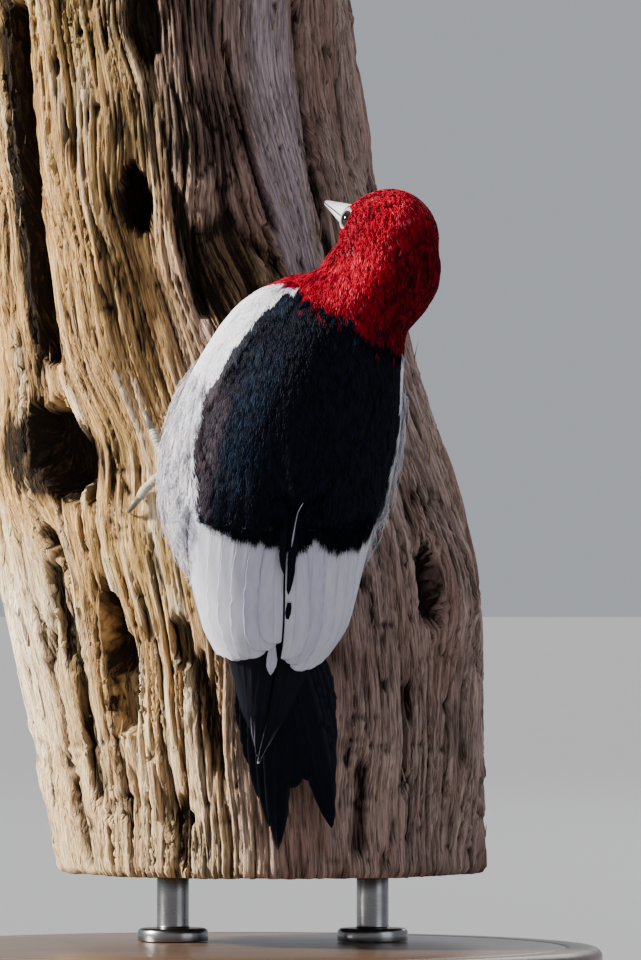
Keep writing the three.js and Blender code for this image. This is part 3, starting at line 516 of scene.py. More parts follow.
# A barb: two rings of three points and a tip.
BARB_FACES = np.array(((0, 1, 2), (1, 0, 3), (1, 3, 4), (2, 1, 4), (2, 4, 5), (0, 2, 5), (0, 5, 3), (4, 3, 6),
                       (5, 4, 6), (3, 5, 6)))
BARB_POINTS = 7
BARB_ACROSS = np.array((0.0, 1.0, 0.5, 0.0, 1.0, 0.5, 0.5))
BARB_WIDTHS = np.array((0.85, 1.0))[:, None]
BARB_THICK = 0.5


def feathers(paths, ups, plan, half, barb, lift, sink, tones, marks, random, spread, ahead=0.0):
    """Closed three-sided barbs fanned along each path. half is each feather's half width, barb a barb's own.

    marks(points) gives the red and black shares at a place, asked for the part of a feather that shows: ahead
    is how far along that lies. Returns points, faces, marks, barb roots and places across and along each barb.
    """
    n, barbs = len(paths), len(plan)
    start, end, aside, wide = (np.broadcast_to(plan[:, c], (n, barbs)) for c in range(4))
    jitter = random.normal(size=(n, barbs, 2))
    end, aside = end * (1 + spread * jitter[..., 0]), aside + spread * jitter[..., 1]
    half = np.asarray(half)[:, None, None]
    u = np.linspace(0, 1, 3)
    t = start[..., None] + (end - start)[..., None] * u
    v = aside[..., None] * u**1.35 * half
    up = unit(along_path(ups, t))
    before, after = (along_path(paths, np.clip(t + step, 0, 1)) for step in (-0.12, 0.12))
    along = unit(after - before)
    length = np.linalg.norm(paths[:, -1] - paths[:, 0], axis=1)[:, None, None, None]
    height = -sink + (lift * half + sink) * np.sin(np.pi * np.minimum(0.15 + 0.62 * t, 1))
    height = height - 0.18 * np.abs(v) * u + 0.1 * random.random((n, barbs, 1)) * u
    place = along_path(paths, t) + along * np.maximum(t - 1, 0)[..., None] * length
    place = place + np.cross(along, up) * v[..., None] + up * height[..., None]
    own_along = unit(np.gradient(place, axis=2))
    own_side = unit(np.cross(own_along, up))
    own_up = np.cross(own_side, own_along)
    w = (barb * wide * (1 + 0.25 * random.normal(size=(n, barbs)).clip(-2, 2)))[..., None, None] * BARB_WIDTHS
    body, side, over = (a[:, :, :2] for a in (place, own_side, own_up))
    rings = np.stack((body - side * w, body + side * w, body + over * w * BARB_THICK), 3)
    points = np.concatenate((rings.reshape(n, barbs, 6, 3), place[:, :, -1:]), 2).reshape(-1, 3)
    base = (np.arange(n * barbs) * BARB_POINTS)[:, None, None]
    faces = (base + BARB_FACES).reshape(-1, 3)
    shares = np.concatenate((np.repeat(t[..., :2], 3, axis=2), t[..., -1:]), 2).reshape(-1)
    tone = (np.asarray(tones)[:, None] + 0.12 * random.normal(size=(n, barbs))).reshape(-1)
    seen = paths[:, round(ahead * (paths.shape[1] - 1))]
    red, black = marks(np.repeat(seen, barbs, axis=0))
    red, black, tone = (np.repeat(a, BARB_POINTS) for a in (red, black, tone))
    roots = np.repeat(paths[:, 0], barbs * BARB_POINTS, axis=0)
    inside = rows(np.tile(BARB_ACROSS, n * barbs), shares.clip(0, 1))
    return points, faces, rows(red, black, tone, shares), roots, inside


def skin_map(points):
    """An unwrap of the skin: turn round the body's axis and height along it, from 0 to 1."""
    p = to_body(points)
    middle = np.where(p[:, 2] > 48, 14.8 + 0.35 * (p[:, 2] - 48), mid_x(p[:, 2]))
    turn = np.arctan2(p[:, 0] - middle, -p[:, 1])
    return rows(turn / (2 * np.pi) + 0.5, (p[:, 2] + 110) / 200)


TUFT_PATCH = 0.003


def coat_piece(name, finish, slot, points, faces, marks, roots, inside):
    """Barbs as one piece with the map where each one is a small patch at its root's place."""
    mesh = mesh_from(points, faces)
    set_marks(mesh, marks)
    root = skin_map(roots)
    low, high = root.min(0), root.max(0)
    set_map(mesh, "OFBake", (root - low) / (high - low) * (1 - TUFT_PATCH) + TUFT_PATCH * inside)
    return add_piece(name, mesh, finish, slot)


# ------------------------------ finishes


def arithmetic(operation, reflected=False):
    """An operator of Wire: one Math node on the wire and the other value."""
    def operator(self, other):
        return self.math(operation, *((other, self) if reflected else (self, other)))

    return operator


class Wire:
    """A value that runs through a material; arithmetic on it adds Math nodes."""

    def __init__(self, recipe, socket):
        self.recipe, self.socket = recipe, socket

    def math(self, operation, *values):
        return self.recipe.add("ShaderNodeMath", {"operation": operation}, dict(enumerate(values)))

    __add__ = __radd__ = arithmetic("ADD")
    __sub__, __rsub__ = arithmetic("SUBTRACT"), arithmetic("SUBTRACT", reflected=True)
    __mul__ = __rmul__ = arithmetic("MULTIPLY")

    def limited(self, low=0.0, high=1.0):
        return self.recipe.add("ShaderNodeClamp", {}, {"Value": self, "Min": low, "Max": high})

    def ramp(self, low, high):
        """0 below low, 1 above high and smooth between."""
        return self.recipe.add("ShaderNodeMapRange", {"interpolation_type": "SMOOTHSTEP"},
                               {"Value": self, "From Min": low, "From Max": high})

    def wave(self):
        return self.math("SINE", self)

    def magnitude(self):
        return self.math("ABSOLUTE", self)


class NodeMaker:
    """Adds nodes to a tree by type, with their settings and the values or links of their sockets."""

    def __init__(self, tree):
        self.tree = tree

    def add(self, kind, settings=None, inputs=None, out=0):
        node = self.tree.nodes.new(kind)
        for key, value in (settings or {}).items():
            setattr(node, key, value)
        for key, value in (inputs or {}).items():
            self.join(self.socket(node.inputs, key), value)
        return Wire(self, self.socket(node.outputs, out)) if len(node.outputs) else None

    @staticmethod
    def socket(sockets, key):
        if isinstance(key, int):
            return sockets[key]
        return next((s for s in sockets if s.identifier == key), None) or sockets[key]

    def join(self, socket, value):
        if isinstance(value, Wire):
            self.tree.links.new(value.socket, socket)
        elif socket.type == "RGBA" and len(value) == 3:
            socket.default_value = (*value, 1)
        else:
            socket.default_value = value


class Recipe(NodeMaker):
    """A procedural finish."""

    def __init__(self, name):
        old = bpy.data.materials.get(name)
        if old:
            bpy.data.materials.remove(old)
        self.material = bpy.data.materials.new(name)
        self.material.use_nodes = True
        super().__init__(self.material.node_tree)
        self.tree.nodes.clear()

    def blend(self, share, a, b):
        """From colour a to colour b."""
        return self.add("ShaderNodeMix", {"data_type": "RGBA"},
                        {"Factor_Float": share, "A_Color": a, "B_Color": b}, "Result_Color")

    def place(self, scale):
        """Object coordinates in millimetres, stretched by a scale."""
        where = self.add("ShaderNodeTexCoord", {}, {}, "Object")
        return self.add("ShaderNodeMapping", {}, {"Vector": where, "Scale": tuple(s / MM for s in scale)})

    def cloud(self, scale=(1, 1, 1), detail=3.0, rough=0.55, warp=0.0, vector=None):
        """Noise over the object, or over a vector."""
        return self.add("ShaderNodeTexNoise", {}, {
            "Vector": vector or self.place(scale), "Scale": 1.0, "Detail": detail, "Roughness": rough,
            "Distortion": warp}, "Fac")

    def across_map(self, name):
        """A UV map as a vector, and its two values apart."""
        sheet = self.add("ShaderNodeUVMap", {"uv_map": name})
        apart = self.add("ShaderNodeSeparateXYZ", {}, {"Vector": sheet}).socket.node
        return sheet, Wire(self, apart.outputs[0]), Wire(self, apart.outputs[1])

    def marks(self, name="marks"):
        """Four values that the mesh carries: on feathers red share, black share, tone and place along."""
        colour = self.add("ShaderNodeAttribute", {"attribute_name": name}, {}, "Color")
        apart = self.add("ShaderNodeSeparateColor", {}, {"Color": colour})
        node = apart.socket.node
        alpha = self.add("ShaderNodeAttribute", {"attribute_name": name}, {}, "Alpha")
        return [Wire(self, node.outputs[k]) for k in range(3)] + [alpha]

    def bump(self, height, strength, distance):
        return self.add("ShaderNodeBump", {}, {"Height": height, "Strength": strength, "Distance": distance * MM})

    def done(self, colour, rough, normal=None, **uniform):
        """Ends in a Principled shader; keywords are settings that are the same all over."""
        inputs = {"Base Color": colour, "Roughness": rough}
        if normal:
            inputs["Normal"] = normal
        inputs.update({key.replace("_", " ").title().replace("Ior", "IOR"): value for key, value in uniform.items()})
        shader = self.add("ShaderNodeBsdfPrincipled", {}, inputs)
        self.add("ShaderNodeOutputMaterial", {}, {"Surface": shader})
        return self.material


def plumage(name, barbs=True, shine=0.16):
    """Feathers in red, white and black by their marks, lighter to the tips, with painted glints on the tips of the
    red and black feathers.
    """
    r = Recipe(name)
    red, black, tone, along = r.marks()
    mottle = r.cloud((0.22, 0.22, 0.12), detail=4)
    fine = r.cloud((1.6, 1.6, 0.7), detail=2)
    lit = (tone * 0.95 + mottle * 0.4 + along * 0.3 - 0.28).limited()
    # tip: painted highlight on the tips of the lighter feathers, used for the painted glints below
    tip = tone.ramp(0.82, 1.02) * along.ramp(0.35, 0.9)
    red_colour = r.blend(lit, colours().red_shade, colours().red_light)
    red_colour = r.blend(tip * 0.75, red_colour, colours().red_painted_glint)
    black_colour = r.blend(lit, colours().black_shade, colours().black_light)
    # A painted highlight: blue glints of sunlight on the tips of the black feathers.
    black_colour = r.blend(tip * (0.35 + 0.4 * fine), black_colour, colours().blue_painted_glint)
    white_colour = r.blend(lit, colours().white_shade, colours().white_light)
    colour = r.blend(red, r.blend(black, white_colour, black_colour), red_colour)
    rough = (0.72 - 0.3 * black + 0.1 * fine).limited()
    normal = r.bump(r.cloud((2.4, 2.4, 0.5)), 0.25 if barbs else 0.5, 0.2)
    return r.done(colour, rough, normal, specular_ior_level=shine)


def vane_finish(name, shine):
    """Long feathers: barbs run out from the shaft, each with a fine shade of its own."""
    r = Recipe(name)
    _, black, tone, _ = r.marks()
    sheet, across, length = r.across_map("feather")
    off = across.math("ABSOLUTE", across - 0.42)
    run = length * 100 - off * 9
    ripple = (run * 16 + r.cloud((0.5, 0.5, 0.5), detail=2) * 5).wave() * 0.5 + 0.5
    mottle = r.cloud((0.2, 0.2, 0.1), detail=4)
    drawn = r.add("ShaderNodeVectorMath", {"operation": "MULTIPLY"}, {0: sheet, 1: (7, 14, 1)}, "Vector")
    streak = r.cloud(vector=drawn, detail=4)
    lit = (tone * 0.9 + ripple * 0.16 + mottle * 0.3 + streak * 0.5 - 0.42).limited()
    shaft = 1 - off.ramp(0.01, 0.028)
    white_colour = r.blend(lit, colours().white_shade, colours().white_light)
    black_colour = r.blend(lit, colours().black_shade, colours().black_light)
    colour = r.blend(black, white_colour, black_colour)
    colour = r.blend(shaft * 0.4, colour, r.blend(black, (0.36, 0.34, 0.38), (0.012, 0.011, 0.012)))
    rough = (0.66 - 0.08 * black + 0.12 * ripple).limited()
    return r.done(colour, rough, r.bump(ripple + mottle * 0.4, 0.3, 0.1), specular_ior_level=shine)


# ------------------------------ sizes and colours


def size(name, description, default, low=0.0, high=0.1):
    return bpy.props.FloatProperty(name=name, description=description, default=default, min=low, max=high,
                                   unit="LENGTH", precision=5)


def paint(name, description, colour):
    return bpy.props.FloatVectorProperty(name=name, description=description, subtype="COLOR", size=3, min=0, max=1,
                                         default=colour)


def how_many(name, description, default):
    return bpy.props.IntProperty(name=name, description=description, default=default, min=1, max=20000)


class WoodpeckerSizes(bpy.types.PropertyGroup):
    coat_depth: size("Coat depth", "How far the skin lies inside the coat", 0.0006)
    face_tuft: size("Face tuft", "Length of the feathers round the bill", 0.0016)
    head_tuft: size("Head tuft", "Length of the feathers on the nape", 0.0052)
    back_tuft: size("Back tuft", "Length of the feathers on the back", 0.0085)
    flank_tuft: size("Flank tuft", "Length of the loose feathers on the flanks", 0.0125)
    belly_tuft: size("Belly tuft", "Length of the feathers on the belly", 0.0095)
    barb: size("Barb", "Half width of one barb", 0.00017)
    vane: size("Vane", "Thickness of a long feather", 0.0004)
    shaft: size("Shaft", "Height of a feather's shaft over its vane", 0.0003)
    secondaries: how_many("White feathers", "White feathers of one wing", 8)
    primaries: how_many("Wing tip feathers", "Black feathers of one wing's tip", 7)
    trunk_around: how_many("Bark columns", "Columns of faces round the trunk", 560)
    trunk_rows: how_many("Bark rows", "Rows of faces up the trunk", 156)
    base_radius: size("Base radius", "Radius of the stand's base", 0.112, high=0.3)
    base_height: size("Base height", "Height of the stand's base", 0.014)


class WoodpeckerColours(bpy.types.PropertyGroup):
    red_shade: paint("Red in shade", "Head feathers at their darkest", (0.016, 0.0003, 0.003))
    red_light: paint("Red in light", "Head feathers at their brightest", (0.38, 0.0008, 0.016))
    # A painted highlight: sunlight glancing on the tips of the head feathers, painted pale into the red.
    red_painted_glint: paint("Red glint", "Pale tips of the head feathers", (0.72, 0.2, 0.26))
    black_shade: paint("Black in shade", "Back feathers at their darkest", (0.0006, 0.001, 0.0028))
    black_light: paint("Black in light", "Back feathers at their brightest", (0.0025, 0.005, 0.014))
    # A painted highlight: the blue gloss of sunlight on the tips of the back feathers.
    blue_painted_glint: paint("Blue glint", "Gloss on the tips of the back feathers", (0.038, 0.075, 0.135))
    white_shade: paint("White in shade", "White feathers at their darkest", (0.31, 0.31, 0.47))
    white_light: paint("White in light", "White feathers at their brightest", (0.74, 0.74, 0.77))
    bill: paint("Bill", "Horn of the bill", (0.5, 0.53, 0.58))
    bill_dark: paint("Bill tip", "Darker horn at the bill's tip and ridge", (0.15, 0.15, 0.17))
    foot: paint("Foot", "Scaled skin of the toes", (0.42, 0.4, 0.31))
    claw: paint("Claw", "Horn of the claws", (0.2, 0.17, 0.13))
    iris: paint("Iris", "Ring of the eye", (0.012, 0.004, 0.003))
    lid: paint("Eyelid", "Bare skin round the eye", (0.46, 0.46, 0.5))
    # The dry wood's own colour, painted lighter and warmer as painted sunlight on the trunk's lit left side.
    sunlit_ochre: paint("Ochre wood", "Dry wood of the trunk's left", (0.86, 0.53, 0.21))
    # Weathered wood, painted darker and cooler as painted shade on the trunk's right, away from the sun.
    grey_and_shade: paint("Grey wood", "Weathered wood of the trunk's right", (0.58, 0.41, 0.36))
    # Near-black for the painted shade in hollows, slots and cracks, also used for the dark grain lines and the
    # checks of the cut ends.
    hollow: paint("Rotten wood", "Wood inside the cracks", (0.012, 0.007, 0.004))
    # A painted highlight: sunlight glaring on the trunk's lower left and on raised fibres of the sunlit side.
    painted_sun_highlight: paint("Bleached wood", "Sun-bleached wood low on the trunk's left", (0.97, 0.82, 0.6))
    base: paint("Base wood", "Stained wood of the stand", (0.06, 0.035, 0.02))
    floor: paint("Floor", "The studio floor", (0.2, 0.21, 0.232))


def sizes():
    return bpy.context.scene.woodpecker_sizes


def colours():
    return bpy.context.scene.woodpecker_colours


# ------------------------------ markings and lie

BILL_ROOT = from_head((0, 13.5, -1.5))
EYE = {"radius": 3.4, "out": 8.9, "forward": 5.6, "up": 0.9, "turned": -3.0}
HEEL = {-1: np.array((-3, -46.5, 144.0)), 1: np.array((27, -43, 142.0))}
HIP = {-1: np.array((4, -64, 161.0)), 1: np.array((22, -60, 159.0))}
painted_highlight_line = straight((204, 32), (208, 32.7), (220, 36.9), (237, 49.2), (246, 52))  # the painted highlight on the feather tips runs down the nape here
collar = straight((13, 215.5), (19, 214), (22, 211), (25.6, 208.6), (31, 206.5), (34.6, 204.4), (38.2, 200.8),
                  (43, 198.4), (48.1, 195.7), (54, 193))


TAIL_STARTS = (104, 107)  # heights over which the white belly turns into the black tail
NECK_TOP = -9  # in the head's frame


def from_bill(points):
    """Distance from the root of the bill."""
    return np.linalg.norm(points - BILL_ROOT, axis=1)


def red_share(points):
    """The hood: 1 above the collar, which is wavy where feathers end."""
    p = np.asarray(points, float)
    wave = 1.6 * (noise(p * 0.35, 3) - 0.5) + 1.2 * (noise(p * 1.3, 4) - 0.5)
    front = smooth(p[:, 1], -84, -62)
    edge = collar(p[:, 0]) * (1 - front) + (203 - 0.12 * (p[:, 0] - 30)) * front
    return smooth(p[:, 2] + wave, edge - 0.5, edge + 0.5)


# Where the black of the back ends: turn from the spine by height, and lowest feather roots by turn.
BLACK_EDGE = {
    -1: straight((-60, 56), (-15, 60), (-9, 62), (3, 67), (15, 70), (25, 66), (37, 64), (48, 60)),
    1: straight((-60, 79), (-22, 79), (-10, 79), (6, 77), (26, 72), (42, 76), (52, 90)),
}
BLACK_FOOT = straight((-75, -6), (-62, -12), (-54, -16), (-46, -19), (-31, -21), (-10, -22.5), (0, -27), (7, -25),
                      (17, -21), (28, -25.5), (58, -24), (68, -17), (80, -5))


def spine_turn(points):
    """Turn from the spine in degrees, positive to the right."""
    p = to_body(points)
    return np.degrees(np.arctan2(p[:, 0] - mid_x(p[:, 2]), np.maximum(-p[:, 1], -40)))


def on_back(points):
    """1 between the flanks at any height, 0 outside."""
    turn, high = spine_turn(points), to_body(points)[:, 2]
    wave = 4 * (noise(np.asarray(points) * 0.4, 5) - 0.5)
    edge = np.where(turn < 0, BLACK_EDGE[-1](high), BLACK_EDGE[1](high))
    return 1 - smooth(np.abs(turn) + wave, edge - 1, edge + 1)


def above_coverts(points):
    """1 above the wavy foot of the black feathers, 0 below."""
    foot = BLACK_FOOT(spine_turn(points)) + 2 * (noise(np.asarray(points) * 0.3, 6) - 0.5)
    return smooth(to_body(points)[:, 2], foot - 1, foot + 1)


def black_share(points):
    """The back: between the flanks, under the collar and above the coverts."""
    return on_back(points) * above_coverts(points) * (1 - red_share(points))


def marks_at(points):
    """Red and black shares at places; the outer edge of the left wing, where the sun falls, gets a painted brownish
    highlight.
    """
    red = smooth(red_share(points), 0.35, 0.65)
    turn, high = spine_turn(points), to_body(points)[:, 2]
    black = smooth(on_back(points) * above_coverts(points), 0.35, 0.65)
    # painted brownish highlight on the left wing's outer edge, where the sun falls
    painted_lit_brown = smooth(-turn, 50, 58) * smooth(high, -24, -14) * (1 - smooth(high, 10, 30)) * black
    black = np.maximum(black, 1 - smooth(np.asarray(points)[:, 2], *TAIL_STARTS))
    return red + 0.055 * painted_lit_brown * (1 - red), black * (1 - 0.055 * painted_lit_brown)


def body_lie(points):
    """Which way the coat lies: back from the bill over the head, then down the body and out over the thighs."""
    p = np.asarray(points, float)
    local = to_body(p)
    down = rows(0.10 * local[:, 0] / 30, 0.12 * np.clip(local[:, 1] / 20, -1, 1), -1.0)
    down = down @ BODY_TURN.T
    for side in (-1, 1):
        leg = HEEL[side] - HIP[side]
        near = np.exp(-(np.linalg.norm(np.cross(p - HIP[side], unit(leg)), axis=1, keepdims=True) / 13) ** 2)
        down = down + near * smooth(p[:, 1:2], -66, -56) * (unit(leg) - down)
    share = smooth(from_bill(p), 13, 38)[:, None]
    return unit(unit(p - BILL_ROOT) * (1 - share) + unit(down) * share)


def eye_clear(points, room=3.2):
    """0 on the bare skin round the eyes, 1 elsewhere."""
    p = to_head(points)
    clear = np.ones(len(p))
    for side in (-1, 1):
        aside = np.hypot((p[:, 1] - EYE["forward"]) / 1.06, p[:, 2] - EYE["up"])
        clear = clear * np.where(side * p[:, 0] > 3, smooth(aside, room - 0.3, room + 0.3), 1)
    return clear


def skin_ground():
    skin = bpy.data.objects.get("skin")
    if skin is None:
        raise RuntimeError("make the skin before the coat")
    return Ground(skin.data)


# ------------------------------ skin and coat

FLESH = ("head", "neck", "torso", "mantle")
CUTS = {"wing_left": from_body((0, 0, -23.0)), "wing_right": from_body((0, 0, -23.0)),
        "tail": np.array((13.0, -50.0, 92.0))}
SWOLLEN = 0.45  # how far the solids are swollen, so that they melt together
VOXEL = 1.15  # how fine they are melted


def melt_flesh():
    """The bird's solids, swollen a little and melted together; wings and tail are cut where feathers begin."""
    joined = bmesh.new()
    for name in (*FLESH, *CUTS):
        part = bmesh.new()
        part.from_mesh(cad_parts[name].data)
        bmesh.ops.remove_doubles(part, verts=part.verts, dist=1e-6)
        if name in CUTS:
            cut = bmesh.ops.bisect_plane(
                part, geom=part.verts[:] + part.edges[:] + part.faces[:], dist=1e-7, clear_outer=True,
                plane_co=Vector(CUTS[name] * MM), plane_no=Vector(BODY_TURN @ np.array((0, 0, -1.0))))
            edges = [g for g in cut["geom_cut"] if isinstance(g, bmesh.types.BMEdge)]
            bmesh.ops.holes_fill(part, edges=edges)
            bmesh.ops.triangulate(part, faces=part.faces[:])
        bmesh.ops.recalc_face_normals(part, faces=part.faces[:])
        for vert in part.verts:
            vert.co += vert.normal * SWOLLEN * MM
        piece = bpy.data.meshes.new("part")
        part.to_mesh(piece)
        part.free()
        joined.from_mesh(piece)
        bpy.data.meshes.remove(piece)
    mesh = bpy.data.meshes.new("flesh")
    joined.to_mesh(mesh)
    joined.free()
    flesh = put("flesh", mesh)
    remesh = flesh.modifiers.new("remesh", "REMESH")
    remesh.mode, remesh.voxel_size, remesh.adaptivity = "VOXEL", VOXEL * MM, 0
    soften = flesh.modifiers.new("soften", "SMOOTH")
    soften.factor, soften.iterations = 0.5, 7
    return finished(flesh)


class MakeSkin(bpy.types.Operator):
    """One skin over head, neck, body and folded arms"""

    bl_idname = "woodpecker.make_skin"
    bl_label = "Skin"

    def execute(self, context):
        points, normals, triangles = numbers(melt_flesh())
        face = smooth(np.linalg.norm(to_head(points) - (0, 12.0, 0), axis=1), 7, 22)
        head = smooth(points[:, 2], 196, 214)
        depth = SWOLLEN + mix(0.2, sizes().coat_depth / MM, face) - 0.7 * head * face
        depth = mix(depth, SWOLLEN, 1 - eye_clear(points, 4.4))
        points = points - normals * depth[:, None]
        mesh = mesh_from(points, triangles)
        red = smooth(red_share(points), 0.35, 0.65)
        black = np.maximum(on_back(points), 1 - smooth(points[:, 2], *TAIL_STARTS))
        tone = 0.25 + 0.3 * layered(points * 0.5, 3, 11)
        set_marks(mesh, rows(red, black, tone, 0.2))
        set_map(mesh, "OFBake", skin_map(points) * 0.99, 0.99)
        add_piece("skin", mesh, plumage("skin_finish", barbs=False), "white_feathers", *FLESH)
        return {"FINISHED"}


def grow(name, ground, weight, count, seed, plan, length, half, barb, finish, slot="white_feathers", *,
         lift, sink, spread, tone, steps=4, marks=marks_at, sway=0.16, ahead=0.34):
    """One coat piece: feathers scattered by weight and combed along the lie; sway turns each one a little."""
    random = np.random.default_rng(SEED + seed)
    roots = ground.scatter(weight, count, SEED + seed)
    lengths = length(roots) * (1 + 0.14 * random.normal(size=len(roots)).clip(-2, 2))
    turned = sway * random.normal(size=(len(roots), 3))
    paths, ups = ground.comb(roots, lambda p: unit(body_lie(p) + turned), lengths, steps)
    tones = tone(roots) if callable(tone) else tone
    tones = tones + 0.17 * random.normal(size=len(roots)) + 0.5 * (layered(roots * 0.3, 3, seed) - 0.5)
    made = feathers(paths, ups, plan, half(roots), barb, lift, sink, tones, marks, random, spread, ahead)
    return coat_piece(name, finish, slot, *made)


def head_length(p):
    """Short round the bill and longer down the nape."""
    return mix(sizes().face_tuft, sizes().head_tuft, smooth(from_bill(p), 3, 34)) / MM


def head_half(p):
    return 0.17 * head_length(p) + 0.25


def head_weight(p):
    """Where the head's feathers grow: thicker on the face, and not on the lids or under the bill's root."""
    q = to_head(p)
    under_bill = (q[:, 1] > 14.2) & (np.abs(q[:, 0]) < 5) & (np.abs(q[:, 2] + 1.4) < 4.6)
    where = (red_share(p) > 0.25) * (q[:, 2] > NECK_TOP) * eye_clear(p) * np.where(under_bill, 0, 1)
    return where * mix(2.2, 1, smooth(from_bill(p), 4, 20))


def neck_weight(p):
    return (red_share(p) > 0.15) * (to_head(p)[:, 2] <= NECK_TOP)


def head_tone_and_painted_light(p):
    """A painted highlight in a strip down the nape, and painted shade on the far side of it."""
    off = p[:, 0] - painted_highlight_line(p[:, 2])
    return 0.45 + 0.36 * np.exp(-((off / 5.5) ** 2)) * smooth(-p[:, 1], 70, 84) - 0.32 * smooth(off, 3, 13)


def back_marks(p):
    """The back's roots are black also where its edge is soft."""
    red, black = marks_at(p)
    return red, np.maximum(black, 0.9)


def back_tone_and_painted_gloss(p):
    """Tone of the back feathers, with a painted highlight of gloss on the left shoulder, where the sun falls."""
    turn, high = spine_turn(p), to_body(p)[:, 2]
    across = smooth(-turn, 22, 38) * (1 - smooth(-turn, 52, 58))
    return 0.3 + 0.5 * across * smooth(high, -14, 2) * (1 - smooth(high, 30, 44))


def white_length(p):
    """Shorter on the front of the body."""
    return (sizes().belly_tuft / MM) * (1 - smooth(p[:, 1], -60, -46) * 0.45)


def white_weight(heights, turns):
    """The white between two heights on the body and two turns from the spine."""
    def weight(p):
        turn, high = np.abs(spine_turn(p)), to_body(p)[:, 2]
        white = (red_share(p) + on_back(p) < 0.6) * (p[:, 2] > TAIL_STARTS[1])
        inside = (high > heights[0]) * (high <= heights[1]) * (turn >= turns[0]) * (turn < turns[1])
        return white * inside

    return weight


class MakeCoat(bpy.types.Operator):
    """The small feathers of head, neck, back and belly"""

    bl_idname = "woodpecker.make_coat"
    bl_label = "Small feathers"

    def execute(self, context):
        ground, s = skin_ground(), sizes()
        finish, crimson = plumage("coat_finish", shine=0.09), plumage("hood_finish", shine=0.03)
        barb = s.barb / MM
        fan = barb_plan(5, 0.6)
        for name, weight, count, wide, seed in (("head", head_weight, 3100, 0.85, 1),
                                                ("neck", neck_weight, 3000, 1, 2)):
            grow(f"coat_{name}", ground, weight, count, seed, fan, head_length, head_half, barb * wide, crimson,
                 "red_feathers", lift=0.5, sink=0.25, spread=0.2, tone=head_tone_and_painted_light)
        grow("coat_back", ground, lambda p: (black_share(p) > 0.3) * 1.0, 2750, 3, barb_plan(7, 0.5),
             lambda p: s.back_tuft / MM, lambda p: np.full(len(p), 1.9), barb * 0.9,
             plumage("black_finish", shine=0.07), "black_feathers", lift=0.14, sink=0.35, spread=0.08,
             tone=back_tone_and_painted_gloss, sway=0.09, ahead=0.0, marks=back_marks)
        fan = barb_plan(9, 0.55)
        for name, high, wide, count, seed in (("shoulder", (4, 90), (0, 100), 2100, 7),
                                              ("breast", (4, 90), (100, 181), 1900, 4),
                                              ("belly", (-200, 4), (0, 181), 2100, 5)):
            grow(f"coat_{name}", ground, white_weight(high, wide), count, seed, fan, white_length,
                 lambda p: np.full(len(p), 2.1), barb * 0.85, finish, lift=0.22, sink=0.3, spread=0.1, tone=0.68,
                 sway=0.1, ahead=0.75)
        grow("coat_flank", ground, white_weight((-46, 22), (60, 118)), 520, 6, barb_plan(9, 0.3),
             lambda p: s.flank_tuft / MM, lambda p: 0.8 + 2.6 * noise(p * 1.7, 8), barb * 0.42, finish,
             lift=1.05, sink=0.3, spread=0.34, tone=0.7, steps=6, sway=0.26, ahead=0.7)
        return {"FINISHED"}


# ------------------------------ long feathers


def sheet_faces(count, columns):
    """A closed sheet's faces: its upper side, its under side and its four rims."""
    under = count * columns
    upper = grid_faces(count, columns)
    i, j = np.arange(count - 1) * columns, np.arange(columns - 1)
    rims = []
    for start, step, turned in ((i, columns, False), (i + columns - 1, columns, True), (j, 1, True),
                                (under - columns + j, 1, False)):
        rim = rows(start, start + step, start + step + under, start + under)
        rims.append(rim[:, ::-1] if turned else rim)
    return np.concatenate((upper, upper[:, ::-1] + under, *rims))


def twice(values):
    """Values for both sides of a sheet."""
    return np.tile(values, (2, 1)).reshape(-1)


VANE_COLUMNS = np.array((-1, -0.97, -0.8, -0.5, -0.24, -0.17, -0.1, 0.25, 0.65, 0.97, 1.0))
SHAFT_COLUMN = -0.17
VANE_TIP_ROWS = (0.93, 0.955, 0.972, 0.985, 0.994, 1.0)


def vane_shape(place, root, tip, half, depth, lean, outline, covered, thick, shaft, random, count=26, notch=0.35,
               bow=0.4):
    """One long feather as a closed sheet with a raised shaft: points, faces, uv, edge share, place along, side."""
    t = np.concatenate((np.linspace(0, 0.9, count - len(VANE_TIP_ROWS)), VANE_TIP_ROWS))
    share = outline(t)[:, None]
    edge = np.ones((count, 2))
    for k in range(2):
        for _ in range(random.integers(2, 4)):
            at, deep = random.uniform(0.35, 0.95), notch * random.uniform(0.1, 0.5)
            edge[:, k] -= deep * np.exp(-(((t - at) / 0.008) ** 2))
        edge[:, k] += 0.03 * random.normal(size=count)
    t = t[:, None]
    v = VANE_COLUMNS * np.where(VANE_COLUMNS < 0, edge[:, :1], edge[:, 1:])
    from_shaft = np.abs(VANE_COLUMNS - SHAFT_COLUMN)
    along, across = mix(root[0], tip[0], np.minimum(t, 1)) + 0 * v, mix(root[1], tip[1], t) + 0 * v
    offset = v * half * share
    camber = bow * (1 - v**2) * share
    ridge = shaft * np.where(from_shaft < 0.01, 1.0, 0) * (1 - 0.75 * t)
    ripple = 0.05 * np.sin(t * 120 - from_shaft * 14)
    base = depth(along) + lean * (1 + v * covered) / 2
    top = place(along, across, offset, base - camber - ridge + ripple)
    under = place(along, across, offset, base - camber + thick * (0.4 + 0.6 * (1 - np.abs(v))))
    points = np.concatenate((top.reshape(-1, 3), under.reshape(-1, 3)))
    uv = rows(twice((v + 1) / 2), twice((t + 0 * v) * abs(tip[0] - root[0])) / 100)
    below = np.repeat([0.0, 1.0], v.size)
    return (points, sheet_faces(*v.shape), uv, twice(np.maximum(np.abs(v), smooth(t, 0.93, 1))), twice(t + 0 * v),
            below)


